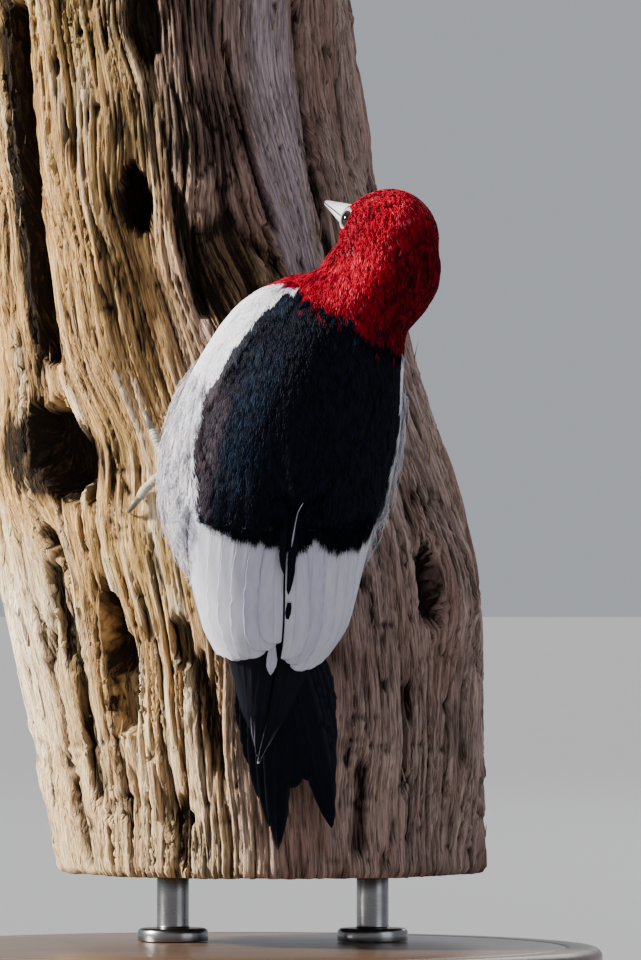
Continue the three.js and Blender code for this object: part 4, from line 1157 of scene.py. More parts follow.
rounded = stations((0, 0.72), (0.35, 0.95), (0.68, 1.0), (0.88, 0.86), (0.95, 0.66), (0.985, 0.38), (1, 0.12))
drop = stations((0, 0.35), (0.5, 0.62), (0.76, 1.0), (0.9, 0.72), (1, 0.06))
pointed = stations((0, 0.72), (0.35, 1.0), (0.62, 0.95), (0.8, 0.75), (0.9, 0.5), (0.97, 0.22), (1, 0.05))


def vane_piece(name, made, finish, slot, *replaced):
    """Joins long feathers as one piece; each has a strip of the map to itself."""
    faces, bake, start = [], [], 0
    for i, (p, f, uv, _, t, below) in enumerate(made):
        faces.append(outward(p, f) + start)
        bake.append(rows((i + 0.03 + 0.45 * uv[:, 0] + 0.49 * below) / len(made), 0.01 + 0.98 * t))
        start += len(p)
    points, _, uvs, marks, _, _ = (np.concatenate(part) for part in zip(*made))
    mesh = mesh_from(points, np.concatenate(faces))
    set_marks(mesh, marks)
    set_map(mesh, "feather", uvs)
    set_map(mesh, "OFBake", np.concatenate(bake))
    return add_piece(name, mesh, finish, slot, *replaced)


SIDES = {"left": -1, "right": 1}
white_depth = stations((-70, 0.05), (-60, 0.4), (-48, 1.7), (-38, 2.65), (-22, 2.65))
primary_depth = stations((-84, 0.6), (-76, 2), (-70, 3.1), (-60, 4.6), (-50, 5.6), (-14, 5.6))
WHITE_TIPS = {
    -1: stations((0, -65.5), (0.3, -66.8), (0.6, -66), (0.85, -63), (1, -60)),
    1: stations((0, -60), (0.3, -66.5), (0.6, -69.5), (0.8, -68), (1, -65)),
}
BLACK_TIPS = {
    -1: stations((0, -80), (0.35, -88), (0.7, -95), (1, -98)),
    1: stations((0, -79), (0.35, -88), (0.7, -97), (1, -101)),
}
COVERT_TIPS = {
    -1: stations((0, -9), (0.1, -15), (0.25, -21.8), (0.5, -26.6), (0.67, -27.7), (0.84, -28.8), (1, -31)),
    1: stations((0, -12), (0.13, -22.4), (0.27, -30.2), (0.5, -31.6), (0.64, -31.9), (0.78, -27.7), (0.91, -31),
                (1, -35)),
}


def marked(made, black, tone, pale_rim=0.0):
    """A feather with its marks in place of its edge share."""
    points, faces, uv, rim, t, below = made
    edge = pale_rim * smooth(rim, 0.86, 1.0)
    marks = rows(0, black * (1 - edge), tone, t)
    return points, faces, uv, marks, t, below


def under_sheet(place, z, top, under):
    """A closed sheet under the long feathers, so that none of the hollow shows between them."""
    share = np.linspace(0, 0.93, 12)
    z = np.asarray(z, float)[:, None]
    upper, lower = (place(z, share, 0, side(z) + 0 * share) for side in (top, under))
    points = np.concatenate((upper.reshape(-1, 3), lower.reshape(-1, 3)))
    u = twice(share + 0 * z)
    t = twice(np.linspace(0, 1, len(z))[:, None] + 0 * share)
    return points, sheet_faces(len(z), 12), rows(u, t * 0.3), 0 * u, t, np.repeat([0.0, 1.0], len(u) // 2)


def add_coverts(name, side, place, finish, random):
    """Tufts over the roots of the white feathers; they end in the scalloped edge of the black."""
    count, long = 430, 8.5
    share = random.uniform(0.08, 0.975, count)
    rise = 10 * (np.arange(count) / count) ** 1.3 * mix(0.5, 1, smooth(share, 0.1, 0.36))
    scallop = 0.9 * np.abs(np.sin(share * 26)) - 0.9
    tip = COVERT_TIPS[side](share) + scallop + rise + 0.4 * random.normal(size=count)
    z = tip[:, None] + long * np.linspace(1, 0, 5)
    deep = 1.85 - 0.09 * rise[:, None] + 0.1 * (z - tip[:, None])
    share = share[:, None] + 0.02 * random.normal(size=(count, 1)) * np.linspace(0, 1, 5)
    paths, over = place(z, share, 0, deep), place(z, share, 0, deep - 0.5)
    tones = 0.32 + 0.15 * random.normal(size=count)
    made = feathers(paths, unit(over - paths), barb_plan(9, 0.6), np.full(count, 1.9), 0.9 * sizes().barb / MM,
                    0.16, 0.1, tones, lambda p: (np.zeros(len(p)), np.ones(len(p))), random, 0.1)
    coat_piece(f"wing_coverts_{name}", finish, "black_feathers", *made)


class MakeWings(bpy.types.Operator):
    """The white secondaries and black primaries of both folded wings"""

    bl_idname = "woodpecker.make_wings"
    bl_label = "Wings"
    # Single feathers in the middle: root and tip (height, share), half width, depth.
    LOOSE_BLACK = {-1: (((-20, 0.97), (-36, 0.99), 1.5, 1.3),),
                   1: (((-20, 0.97), (-43, 0.985), 1.6, 1.1), ((-46, 0.97), (-53, 0.98), 0.9, 1.8))}
    LOOSE_WHITE = {-1: (((-52, 0.9), (-71, 0.94), 1.9, 1.9),), 1: (((-13, 0.965), (-27, 0.985), 0.18, 0.15),)}

    def execute(self, context):
        finish, dull = vane_finish("wing_finish", shine=0.1), vane_finish("strip_finish", shine=0.05)
        dull_coat = plumage("covert_finish", shine=0.06)
        vane, shaft = sizes().vane / MM, sizes().shaft / MM
        for name, side in SIDES.items():
            place = on_wing(side)
            random = np.random.default_rng(SEED + 20 + side)

            def loose(parts, outline, black, tone, bow):
                return [marked(vane_shape(place, root, tip, half, lambda z: deep + 0 * z, 0.2, outline, 1,
                                          0.7 * vane, 0.3 * shaft, random, bow=bow), black, tone)
                        for root, tip, half, deep in parts]

            white = []
            for share in np.linspace(0, 1, sizes().secondaries):
                across = mix(0.05, 0.94, share)
                tip = float(WHITE_TIPS[side](share)) + random.normal() * 0.4
                start = min(-16, float(COVERT_TIPS[side](across)) + 3)
                made = vane_shape(place, (start, across), (tip, across), 6.0, white_depth, 0.75, rounded, 1,
                                  0.6 * vane, 0.3 * shaft, random, notch=0.15, bow=0.1)
                tone = 0.55 + 0.06 * random.normal() - 0.1 * share - 0.3 * smooth(made[3], 0.93, 1)
                white.append(marked(made, 0.0, tone))
            white += loose(self.LOOSE_WHITE[side], drop, 0.0, 0.3, 0.1)
            sheet = under_sheet(place, np.linspace(-24, -57, 12), lambda z: white_depth(z) + 2.0,
                                lambda z: white_depth(z) + 2.9)
            # The sheet under the white feathers has a low tone: painted shade in the gaps between them.
            white.append(marked(sheet, 0.0, 0.1))
            vane_piece(f"white_feathers_{name}", white, finish, "white_feathers", f"secondaries_{name}")
            strips = loose(self.LOOSE_BLACK[side], pointed, 1.0, 0.35, 0.4)
            vane_piece(f"wing_middle_{name}", strips, dull, "black_feathers")
            add_coverts(name, side, place, dull_coat, random)
            black = []
            for share in np.linspace(0, 1, sizes().primaries):
                across = mix(0.06, 0.93, share)
                tip = float(BLACK_TIPS[side](share)) + random.normal() * 0.5
                made = vane_shape(place, (-38, across), (tip, across), 4.4, primary_depth, 1.0, pointed, 1, vane,
                                  shaft, random)
                rim, t = made[3:5]
                made = marked(made, 1.0, 0.4 + 0.1 * random.normal())
                if share > 0.75:  # the innermost have a pale rim near the tip
                    made[3][:, 1] -= 0.45 * smooth(rim, 0.9, 1) * smooth(t, 0.8, 0.95)
                black.append(made)
            sheet = under_sheet(place, np.linspace(-18, -60, 12), lambda z: 5.6 + 0 * z, lambda z: 7.2 + 0 * z)
            # The sheet under the black feathers has a low tone: painted shade in the gaps between them.
            black.append(marked(sheet, 1.0, 0.2))
            vane_piece(f"wing_tip_{name}", black, finish, "black_feathers", f"wing_{name}")
        return {"FINISHED"}


TAIL_TOP, TAIL_FOOT, TAIL_MIDDLE = 110, 47, 14.6
TAIL = {
    -1: ((13.6, 17.0, 64, 4.6), (12.2, 12.4, 45, 4.4), (10.6, 9.8, 52, 4.6), (9, 6.6, 61, 4.6), (7.4, 3.8, 71, 4.6),
         (6, 2, 80, 4.2)),
    1: ((14.6, 22.2, 66, 4.8), (16, 28.8, 51.5, 4.8), (18, 28.6, 56, 4.8), (19.6, 28.6, 64, 4.6),
        (21, 28.6, 73, 4.6), (22.4, 28.2, 83, 4.2)),
}


def tail_point(x, z, depth):
    """A place on the tail's outer face: it stands off the bark at its top and lies on it at its foot."""
    share = np.clip((z - TAIL_FOOT) / (TAIL_TOP - TAIL_FOOT), 0, 1.3)
    radius = trunk_radius(z)
    across = (x - trunk_x(z)) / radius
    front = AXIS_Y - radius * np.sqrt(1 - across**2 * (1 - 0.5 * share))
    lift = 0.35 + 1.3 + 30 * share**1.08
    turned = math.tan(math.radians(12)) * (x - TAIL_MIDDLE) * share
    return rows(x, front - lift + turned + depth, z)


class MakeTail(bpy.types.Operator):
    """The stiff tail feathers pressed on the bark"""

    bl_idname = "woodpecker.make_tail"
    bl_label = "Tail"

    def execute(self, context):
        s = sizes()
        random = np.random.default_rng(SEED + 40)
        made = []

        def place(z, x, offset, depth):
            return tail_point(x + offset, z, depth)

        for side, half in TAIL.items():
            for i, (root, tip, end, width) in enumerate(half):
                deep = (i - 1) * 0.9 + 0.8 * (i == 0)
                shape = vane_shape(place, (TAIL_TOP - 2, root), (end, tip), width, lambda z: deep + 0 * z, 0.5,
                                   rounded if i == 0 else pointed, side, s.vane / MM, 1.5 * s.shaft / MM, random,
                                   count=34, notch=0.4)
                made.append(marked(shape, 1.0, 0.36 + 0.08 * random.normal(), 0.02))
        vane_piece("tail_feathers", made, vane_finish("tail_finish", shine=0.07), "black_feathers", "tail")
        return {"FINISHED"}


# ------------------------------ bill and eyes

BILL = {"base": 14.6, "length": 25.4, "half": 5, "culmen": 4.9, "keel": 4.2, "droop": -1.8, "mouth": -1.4}


def bill_ring(along, upper, count):
    """Half of the bill's section: the upper or lower mandible, from the face (0) to the tip."""
    t = np.maximum(0, along) / BILL["length"]
    half, top = mix(BILL["half"], 0.8, t**0.9), mix(BILL["culmen"], 0.7, t**1.15)
    bottom = mix(BILL["keel"], 0.5, t)
    y = BILL["base"] + along
    z = mix(BILL["mouth"], BILL["droop"], t)
    turn = np.linspace(-np.pi / 2, np.pi / 2, count)
    x = half * np.sin(turn)
    rise = np.cos(turn)
    if upper:
        ridge = 1 + 0.12 * np.exp(-((turn / 0.22) ** 2)) - 0.05 * np.exp(-(((np.abs(turn) - 0.62) / 0.2) ** 2))
        rim_z = z + 0.18
        height = rim_z + rise**0.92 * ridge * top
    else:
        rim_z = z - 0.18
        height = rim_z - rise**0.95 * bottom
    outer = rows(x, y, height)
    inner_turn = np.linspace(np.pi / 2, -np.pi / 2, max(count // 3, 4))[1:-1]
    bow = 0.25 * np.cos(inner_turn) * (1 if upper else -1)
    inner = rows(half * np.sin(inner_turn), y, rim_z + bow)
    return np.concatenate((outer, inner))


def nostrils(rings):
    """The upper half with a dent on either side."""
    y = rings[..., 1] - BILL["base"]
    z = rings[..., 2] - BILL["mouth"]
    side = np.abs(rings[..., 0])
    dent = np.exp(-(((y - 3.6) / 1.5) ** 2)) * np.exp(-(((z - 2.0) / 0.55) ** 2)) * (side > 1.2)
    rings = rings.copy()
    rings[..., 0] -= np.sign(rings[..., 0]) * dent * 1.3
    return rings


def horn_finish():
    r = Recipe("bill_finish")
    share, ridge, _, _ = r.marks()
    streak = r.cloud((0.5, 0.5, 0.5))
    grain = r.cloud((3.0, 3.0, 0.5))
    dark = (share.ramp(0.45, 1.0) * 0.75 + ridge * 0.35 + streak * 0.5 - 0.28).limited()
    colour = r.blend(dark, colours().bill, colours().bill_dark)
    colour = r.blend((grain * 0.5 - 0.12).limited(), colour, (0.62, 0.62, 0.6))
    rough = 0.3 + 0.18 * grain
    normal = r.bump(grain + streak * 0.6, 0.25, 0.15)
    return r.done(colour, rough, normal, specular_ior_level=0.5, coat_roughness=0.25)


class MakeBill(bpy.types.Operator):
    """Both halves of the chisel bill, with nostrils"""

    bl_idname = "woodpecker.make_bill"
    bl_label = "Bill"

    def execute(self, context):
        finish = horn_finish()
        for name, upper in (("bill_top", True), ("bill_bottom", False)):
            along = np.concatenate((np.linspace(-5, 4, 14), np.linspace(4.6, 24.2, 34), [24.8, 25.2, 25.4]))
            rings = np.stack([bill_ring(a, upper, 31) for a in along])
            if upper:
                rings = nostrils(rings)
            mesh, points = solid(from_head(rings))
            q = to_head(points)
            share = np.clip((q[:, 1] - BILL["base"]) / BILL["length"], 0, 1)
            ridge = np.exp(-((q[:, 0] / 0.9) ** 2)) * (q[:, 2] > BILL["mouth"] + 1.5)
            set_marks(mesh, rows(share, ridge, 0, share))
            add_piece(name, mesh, finish, "bill_horn", "bill_upper" if upper else "bill_lower")
        return {"FINISHED"}


def eye_finish():
    r = Recipe("eye_finish")
    ring, front, _, _ = r.marks()
    rays = r.cloud((1.2, 1.2, 1.2), detail=4)
    iris = (ring.ramp(0.5, 0.55) * front).limited()
    rim = ring.ramp(0.62, 0.75)
    colour = r.blend(iris, (0.002, 0.002, 0.002), colours().iris)
    colour = r.blend((rays * iris - 0.3).limited(), colour, (0.03, 0.01, 0.006))
    colour = r.blend(rim, colour, (0.01, 0.006, 0.006))
    return r.done(colour, 0.05 + 0.03 * rays, specular_ior_level=0.4, coat_weight=0.25, coat_roughness=0.03)


def lid_finish():
    r = Recipe("lid_finish")
    _, _, tone, _ = r.marks()
    grain = r.cloud((2.5, 2.5, 2.5))
    colour = r.blend((tone * 1.2 + grain * 0.5 - 0.3).limited(), (0.16, 0.09, 0.09), colours().lid)
    return r.done(colour, 0.5 + 0.2 * grain, r.bump(grain, 0.5, 0.2), specular_ior_level=0.4)


class MakeEyes(bpy.types.Operator):
    """Both eyes with iris and pupil, and the bare lids round them"""

    bl_idname = "woodpecker.make_eyes"
    bl_label = "Eyes"

    def execute(self, context):
        gloss, skin = eye_finish(), lid_finish()
        for name, side in SIDES.items():
            turned = math.radians(EYE["turned"])
            axis = np.array((side * math.cos(turned), math.sin(turned), 0))
            middle = np.array((side * EYE["out"], EYE["forward"], EYE["up"]))
            fore = np.cross((0, 0, 1), axis)
            up = np.cross(axis, fore)
            lift = np.linspace(0, np.pi, 24)[1:-1]
            turn = round_turns(36)
            bulge = EYE["radius"] * (1 + 0.05 * np.exp(-((lift / 0.55) ** 2)))
            along = -bulge * np.cos(np.pi - lift)
            flat = EYE["radius"] * np.sin(lift)
            rings = middle + along[:, None, None] * axis + flat[:, None, None] * circle(turn, fore, up)
            mesh, points = solid(from_head(rings))
            off = to_head(points) - middle
            ring = np.linalg.norm(off - (off @ axis)[:, None] * axis, axis=1) / EYE["radius"]
            front = (off @ axis > 0) * 1.0
            set_marks(mesh, rows(ring, front, 0, ring))
            add_piece(f"eyeball_{name}", mesh, gloss, "eye_surface", f"eye_{name}")
            lids = Gather()
            turn = round_turns(72)
            bead = 1 + 0.16 * np.cos(turn * 24) + 0.1 * np.cos(turn * 7)
            for big, small, out, tone in ((2.95, 0.42, 2.2, 0.5), (3.5, 0.36, 1.75, 0.2)):
                way = circle(turn, fore * 1.04, up)
                line = middle + out * axis + big * way
                bent = circle(round_turns(10), unit(way)[:, None], axis)
                tube = from_head(line[:, None] + (small * bead)[:, None, None] * bent).reshape(-1, 3)
                face = grid_faces(len(line) + 1, 10, closed=True) % len(tube)
                lids.add(tube, outward(tube, face), marks=(0, 0, tone, 0.5))
            add_piece(f"eyelids_{name}", lids.mesh(), skin, "red_feathers")
        return {"FINISHED"}


# ------------------------------ feet

FEET = {
    "left": {"foot": (-19.1, 159.8), "heel": HEEL[-1],
             "toes": ((-6.3, 13.2, 0.3), (3.5, 12.5, -0.6), (-9.9, -7.9, -1.3), (1.5, -8, 0.5))},
    "right": {"foot": (33.5, 157), "heel": HEEL[1],
              "toes": ((5.4, 15, -0.5), (-5.5, 12.5, 0.6), (6.6, -10.5, 1), (-2.5, -8, -0.5))},
}
toe_radius = stations((0, 1.7), (0.22, 1.45), (0.42, 1.6), (0.62, 1.3), (0.82, 1.45), (0.98, 1.2), (1.04, 0.6))
claw_lift = stations((-0.6, 2.1), (1.8, 3.1), (3.9, 2.8), (5.3, 1.7), (5.9, 0.55))
claw_radius = stations((-0.6, 1.05), (1.8, 1.1), (3.9, 0.8), (5.3, 0.45), (5.9, 0.16))


def toe_point(foot, toe, t, lift):
    """A point along a toe that lies bowed on the bark."""
    across, up, bow = toe
    length = math.hypot(across, up)
    sideways = bow * np.sin(np.pi * t) / length
    return on_bark(foot[0] + across * t - up * sideways, foot[1] + up * t + across * sideways, lift)


def scuted(line, radius, pitch, around=14, up=(0.0, -1.0, 0.0), raised=0.13):
    """A toe or shank whose upper side steps over scutes a pitch apart."""
    step = np.concatenate([[0], np.cumsum(np.linalg.norm(np.diff(line, axis=0), axis=1))])
    count = max(int(step[-1] / pitch * 6), 12)
    even = np.linspace(0, step[-1], count)
    fine = np.stack([np.interp(even, step, line[:, k]) for k in range(3)], -1)
    thick = np.interp(even, step, radius)
    phase = (even / pitch) % 1
    rise = 1 + raised * (1 - phase) ** 1.5 * np.clip(phase * 12, 0, 1)
    rings = pipe(fine, thick, around, up=up)
    centre = fine[:, None]
    over = np.clip(((rings - centre) / thick[:, None, None]) @ np.asarray(up), 0, 1)[..., None]
    rings = centre + (rings - centre) * (1 + (rise[:, None, None] - 1) * (0.25 + 0.75 * over))
    return rings, phase


def add_tube(made, line, radius, pitch):
    rings, phase = scuted(line, radius, pitch)
    points, faces, ends = closed(rings)
    tone = np.concatenate((np.repeat(phase, rings.shape[1]), [0.5, 0.5]))
    made.add(points, faces, ends, marks=rows(tone, 0, 0, tone))


def add_ball(made, middle, radius):
    lift = np.linspace(0, np.pi, 12)[1:-1]
    turn = round_turns(16)
    wide = np.sin(lift)[:, None]
    rings = middle + radius * rows(wide * np.cos(turn), wide * np.sin(turn), np.cos(lift)[:, None])
    points, faces, ends = closed(rings)
    made.add(points, faces, ends, marks=(0.4, 0, 0, 0.4))


def foot_finish():
    r = Recipe("foot_finish")
    phase, _, _, _ = r.marks()
    grain = r.cloud((1.8, 1.8, 1.8))
    cells = r.add("ShaderNodeTexVoronoi", {"feature": "DISTANCE_TO_EDGE"},
                  {"Vector": r.place((1.4, 1.4, 1.4)), "Scale": 1.0}, "Distance")
    seam = 1 - cells.ramp(0.0, 0.12)
    dark = (phase.ramp(0.75, 1.0) * 0.6 + seam * 0.4 + grain * 0.4 - 0.15).limited()
    colour = r.blend(dark, colours().foot, (0.1, 0.09, 0.07))
    return r.done(colour, 0.45 + 0.25 * grain, r.bump(grain * 0.5 - seam, 0.4, 0.15), specular_ior_level=0.45)


def claw_finish():
    r = Recipe("claw_finish")
    share, _, _, _ = r.marks()
    grain = r.cloud((2.0, 2.0, 2.0))
    colour = r.blend((share * 0.9 + grain * 0.4 - 0.25).limited(), colours().claw, (0.03, 0.025, 0.02))
    return r.done(colour, 0.3 + 0.2 * grain, r.bump(grain, 0.2, 0.1), specular_ior_level=0.5)


class MakeFeet(bpy.types.Operator):
    """Shanks and toes with their scutes, and the hooked claws"""

    bl_idname = "woodpecker.make_feet"
    bl_label = "Feet"

    def execute(self, context):
        skin, horn = foot_finish(), claw_finish()
        for name, leg in FEET.items():
            made = Gather()
            foot, heel = leg["foot"], leg["heel"]
            pad = on_bark(np.array(foot[0]), np.array(foot[1]), 2.6)
            t = np.linspace(0, 1, 9)[:, None]
            line = heel + (pad - heel) * t
            add_tube(made, line, np.interp(t[:, 0], (0, 0.5, 1), (2.1, 1.7, 2.2)), 2.2)
            add_ball(made, heel, 2.3)
            add_ball(made, pad, 2.4)
            for toe in leg["toes"]:
                t = np.linspace(0, 1.03, 26)
                radius = toe_radius(t)
                line = toe_point(foot, toe, t, radius + 0.65 + np.sin(np.pi * t))
                add_tube(made, line, radius * np.where(t > 0.99, 0.8, 1), 1.15)
            add_piece(f"foot_{name}", made.mesh(), skin, "leg_scales", f"leg_{name}")
            for i, toe in enumerate(leg["toes"]):
                far = np.linspace(-0.6, 5.9, 16)
                length = math.hypot(toe[0], toe[1])
                line = toe_point(foot, toe, 1 + far / length, claw_lift(far))
                mesh, _ = solid(pipe(line, claw_radius(far), 12, flat=0.8, up=(0.0, -1.0, 0.0)))
                share = np.concatenate((np.repeat(np.linspace(0, 1, 16), 12), [0, 1]))
                set_marks(mesh, rows(share, 0, 0, share))
                add_piece(f"talon_{name}_{i + 1}", mesh, horn, "claw_horn", f"claw_{name}_{i + 1}")
        return {"FINISHED"}


# ------------------------------ trunk and stand


def grain_turn(turn, z):
    """The turn that a fibre of the wood has far from the knots it bends round."""
    bent = turn
    for at, high_at, wide, high, _ in HOLLOWS:
        away = off_turn(turn, at)
        near = np.exp(-((away * GRAIN_RADIUS / (1.8 * wide)) ** 2) - ((z - high_at) / (1.5 * high)) ** 2)
        bent = bent - 0.62 * away * near
    return bent + 0.05 * np.sin(z * 0.021 + 1.3) + 0.012 * np.sin(z * 0.11 + 3 * turn)


def wood_place(turn, z):
    """Where a spot of the bark lies in the straightened grain."""
    turn = grain_turn(turn, z)
    return rows(GRAIN_RADIUS * np.cos(turn), GRAIN_RADIUS * np.sin(turn), z)


def patch(turn, z, at, high_at, wide, high, ragged=0.0, soft=0.25, squared=2.0):
    """1 inside an oval on the trunk with a ragged edge, 0 outside; squared over 2 gives it corners."""
    across, up = np.abs(off_turn(turn, at)) * GRAIN_RADIUS / wide, np.abs(z - high_at) / high
    return 1 - smooth((across**squared + up**squared) ** (1 / squared) + ragged, 1 - soft, 1 + soft)


# Cut slots (turn, height, half sizes, depth, darkness of the painted shade inside), and places with painted shade
# only (turn, height, half sizes).
SLOTS = ((-35.4, 101.5, 4.2, 22.5, 9, 0.8), (-22, 54, 3, 2.2, 4, 0.9), (-16, 108, 3.2, 8, 5, 0.75),
         (15, 226, 14, 20, 3.4, 0.1))
SHADES = ((-43, 165, 20, 14.5), (53, 126, 5.5, 12), (1, 298, 6, 8), (-41.5, 250, 6, 62), (-7, 243, 5.6, 9.2))


def veins(points, octaves, seed, low, high):
    """1 on thin winding lines, where noise crosses its middle."""
    return smooth(1 - 2 * np.abs(layered(points, octaves, seed) - 0.5), low, high)


def cut_end(edge, up, seed):
    """Rings from the rim of the trunk to its pith, over a sawn and checked end."""
    middle = np.array((float(trunk_x(TRUNK_TOP if up > 0 else TRUNK_FOOT)), AXIS_Y, edge[0, 2]))
    shares = np.array((0.985, 0.95, 0.88, 0.78, 0.66, 0.54, 0.42, 0.3, 0.18, 0.08))[:, None, None]
    rings = middle + (edge[None] - middle) * shares
    turn = np.arctan2(rings[..., 0] - middle[0], rings[..., 1] - middle[1])
    check = np.zeros(turn.shape)
    for k in range(7):
        at = 0.9 * k + 0.5 * math.sin(2.1 * k + seed)
        off = off_turn(turn, math.degrees(at)) * shares[..., 0] * END_RADIUS
        inner = (0.37 * k) % 0.7
        check = np.maximum(check, np.exp(-((off / 1.2) ** 2)) * (0.3 + 0.7 * math.sin(k + seed) ** 2)
                           * smooth(shares[..., 0], inner, inner + 0.25))
    far = np.linalg.norm(rings[..., :2] - middle[:2], axis=-1)
    rough = noise(rings * 0.6, seed) - 0.5
    rings[..., 2] = middle[2] - up * (1.6 * check + 0.5 * rough * (far > 1) - 0.25)
    mark = rows(0.75 * check, far / END_RADIUS, noise(rings * 0.2, seed + 1), 1)
    return rings, mark


def wood_relief(turn, z):
    """Lift of the bark over its plain form, and how dark, how golden and how pale it is: the dark holds painted
    shade, the golden and the pale hold painted sunlight.
    """
    p = wood_place(turn, z)
    bundle = layered(p * (0.14, 0.14, 0.009), 3, 31)
    fibre = layered(p * (0.5, 0.5, 0.022), 3, 32)
    thread = layered(p * (1.05, 1.05, 0.05), 2, 33)
    split = veins(p * (0.24, 0.24, 0.011) + 7.0, 3, 34, 0.92, 0.985)
    fine_split = veins(p * (0.62, 0.62, 0.024), 2, 35, 0.9, 0.985)
    worn = worn_share(turn, z)
    x = bark_radius(turn, z) * np.sin(turn) + trunk_x(z)
    strip = 0.9 * patch(turn, z, 37, 262, 8.5, 62, 0.5 * (fibre - 0.5), 0.35)
    flaky = (1 - 0.8 * strip) * (1 - 0.6 * worn)
    chip_edge = layered(p * (0.13, 0.13, 0.045), 4, 36) + 0.3 * (thread - 0.5)
    chip = smooth(chip_edge, 0.5, 0.52) + smooth(chip_edge, 0.58, 0.6)
    cross = veins(p * (0.035, 0.035, 0.085), 4, 37, 0.965, 0.99)
    cross = cross * smooth(layered(p * (0.05, 0.05, 0.03), 2, 38), 0.5, 0.62)
    ragged = 0.9 * (fibre - 0.5) + 0.5 * (thread - 0.5)
    dent, hollow, slit = 0 * turn, 0 * turn, 0 * turn
    soft = -(trunk_radius(z) + 0 * turn)
    for at, high_at, wide, high, depth in HOLLOWS:
        inside = patch(turn, z, at, high_at, 1.05 * wide, high, ragged, 0.13)
        near = reach(turn, z, at, high_at, wide, high)
        soft = soft + depth * near
        dent = dent + depth * (0.25 * near + 0.95 * inside)
        # Painted shade inside each hollow, darker the deeper it is.
        hollow = np.maximum(hollow, inside * min(1, depth / 9))
    soft = soft + trunk_radius(z)
    for *line, depth, slant in CRACKS:
        share = crack_share(turn + 0.09 * (fibre - 0.5), z, *line, slant)
        soft = soft + depth * crack_share(turn, z, *line, slant)
        dent = dent + depth * (0.4 * share + 0.95 * smooth(share, 0.55, 0.85))
        slit = np.maximum(slit, smooth(share, 0.5, 0.85))
    # Each slot is cut in, and its gloom paints shade inside it.
    for at, high_at, wide, high, depth, gloom in SLOTS:
        leaning = turn - np.radians(0.058) * (z - high_at)
        inside = patch(leaning, z, at, high_at, wide, high, 0.4 * ragged, 0.07, 3.4)
        dent, hollow = np.maximum(dent, inside * depth), np.maximum(hollow, gloom * inside)
    # Places with painted shade only, where the wood is not cut deeper.
    for oval in SHADES:
        hollow = np.maximum(hollow, patch(turn, z, *oval, ragged, 0.2))
    pits = 0 * turn
    random = np.random.default_rng(SEED + 60)
    for _ in range(240):
        at, high_at = random.uniform(-180, 180), random.uniform(TRUNK_FOOT + 4, TRUNK_TOP - 4)
        big = random.uniform(0.35, 1.0) ** 1.5 * 1.5
        pits = np.maximum(pits, patch(turn, z, at, high_at, big, big * random.uniform(1, 2.4), 0, 0.35))
    calm = 1 - 0.8 * worn
    lift = 1.1 + 0.9 * (bundle - 0.6) + 0.8 * (fibre - 0.6) + 0.9 * (thread - 0.5)
    lift = lift - 1.7 * split * flaky - 0.9 * fine_split - 0.45 * (2 - chip) * flaky - 0.9 * cross * flaky
    lift = lift * calm * mix(1, 0.4, strip) + (soft - dent) * (1 - 0.9 * worn) - 1.6 * pits * calm
    # Painted shade in the hollows, slots, cracks and pits, with dark lines along the splits, cross checks and chip
    # edges.
    dark = (1.0 * hollow + 0.8 * slit + 0.7 * split * flaky + 0.4 * fine_split + 0.5 * cross * flaky + 0.8 * pits
            + 0.07 * (2 - chip) * flaky)
    dusk = patch(turn, z, 8, 266, 24, 17, ragged * 0.8, 0.35) + 0.8 * patch(turn, z, 3, 297, 20, 14, ragged, 0.3)
    dark = np.clip(dark + 0.75 * np.clip(dusk, 0, 1) * (0.25 + fibre), 0, 1)
    # The golden left side: partly the dry wood's own colour, partly painted sunlight where the sun falls; the right
    # stays cool weathered wood in painted shade.
    sunlit_ochre = 1 - smooth(x + 26 * (bundle - 0.5) + 16 * (fibre - 0.5), -28 + 0.14 * (160 - z), 6 + 0.10 * (160 - z))
    sunlit_ochre = np.maximum(sunlit_ochre, 0.75 * patch(turn, z, 17, 216, 15, 17, ragged, 0.4))
    # pale: painted highlight where the sun glares on the lower left, on raised fibres and low on the sunlit side.
    pale = (1 - smooth(x + 18 * (fibre - 0.5), -74 + 0.05 * z, -46)) * (1 - smooth(z, 112, 150))
    pale = np.maximum(pale, 0.55 * smooth(fibre + 0.6 * (thread - 0.5), 0.6, 0.75) * sunlit_ochre)
    pale = np.maximum(pale, (0.15 + 0.45 * fibre) * (1 - smooth(z, 40, 120)) * sunlit_ochre)
    red = smooth(layered(p * (0.08, 0.08, 0.02), 3, 39), 0.5, 0.66) * (1 - sunlit_ochre)
    moss = smooth(layered(p * (0.06, 0.06, 0.03), 3, 40), 0.55, 0.68) * sunlit_ochre
    marks = rows(dark, sunlit_ochre, np.clip(0.25 + 0.5 * fibre + 0.25 * thread, 0, 1), 0)
    return np.minimum(lift, soft + mix(1.1, 0.45, worn)), marks, rows(pale, strip, red, moss)


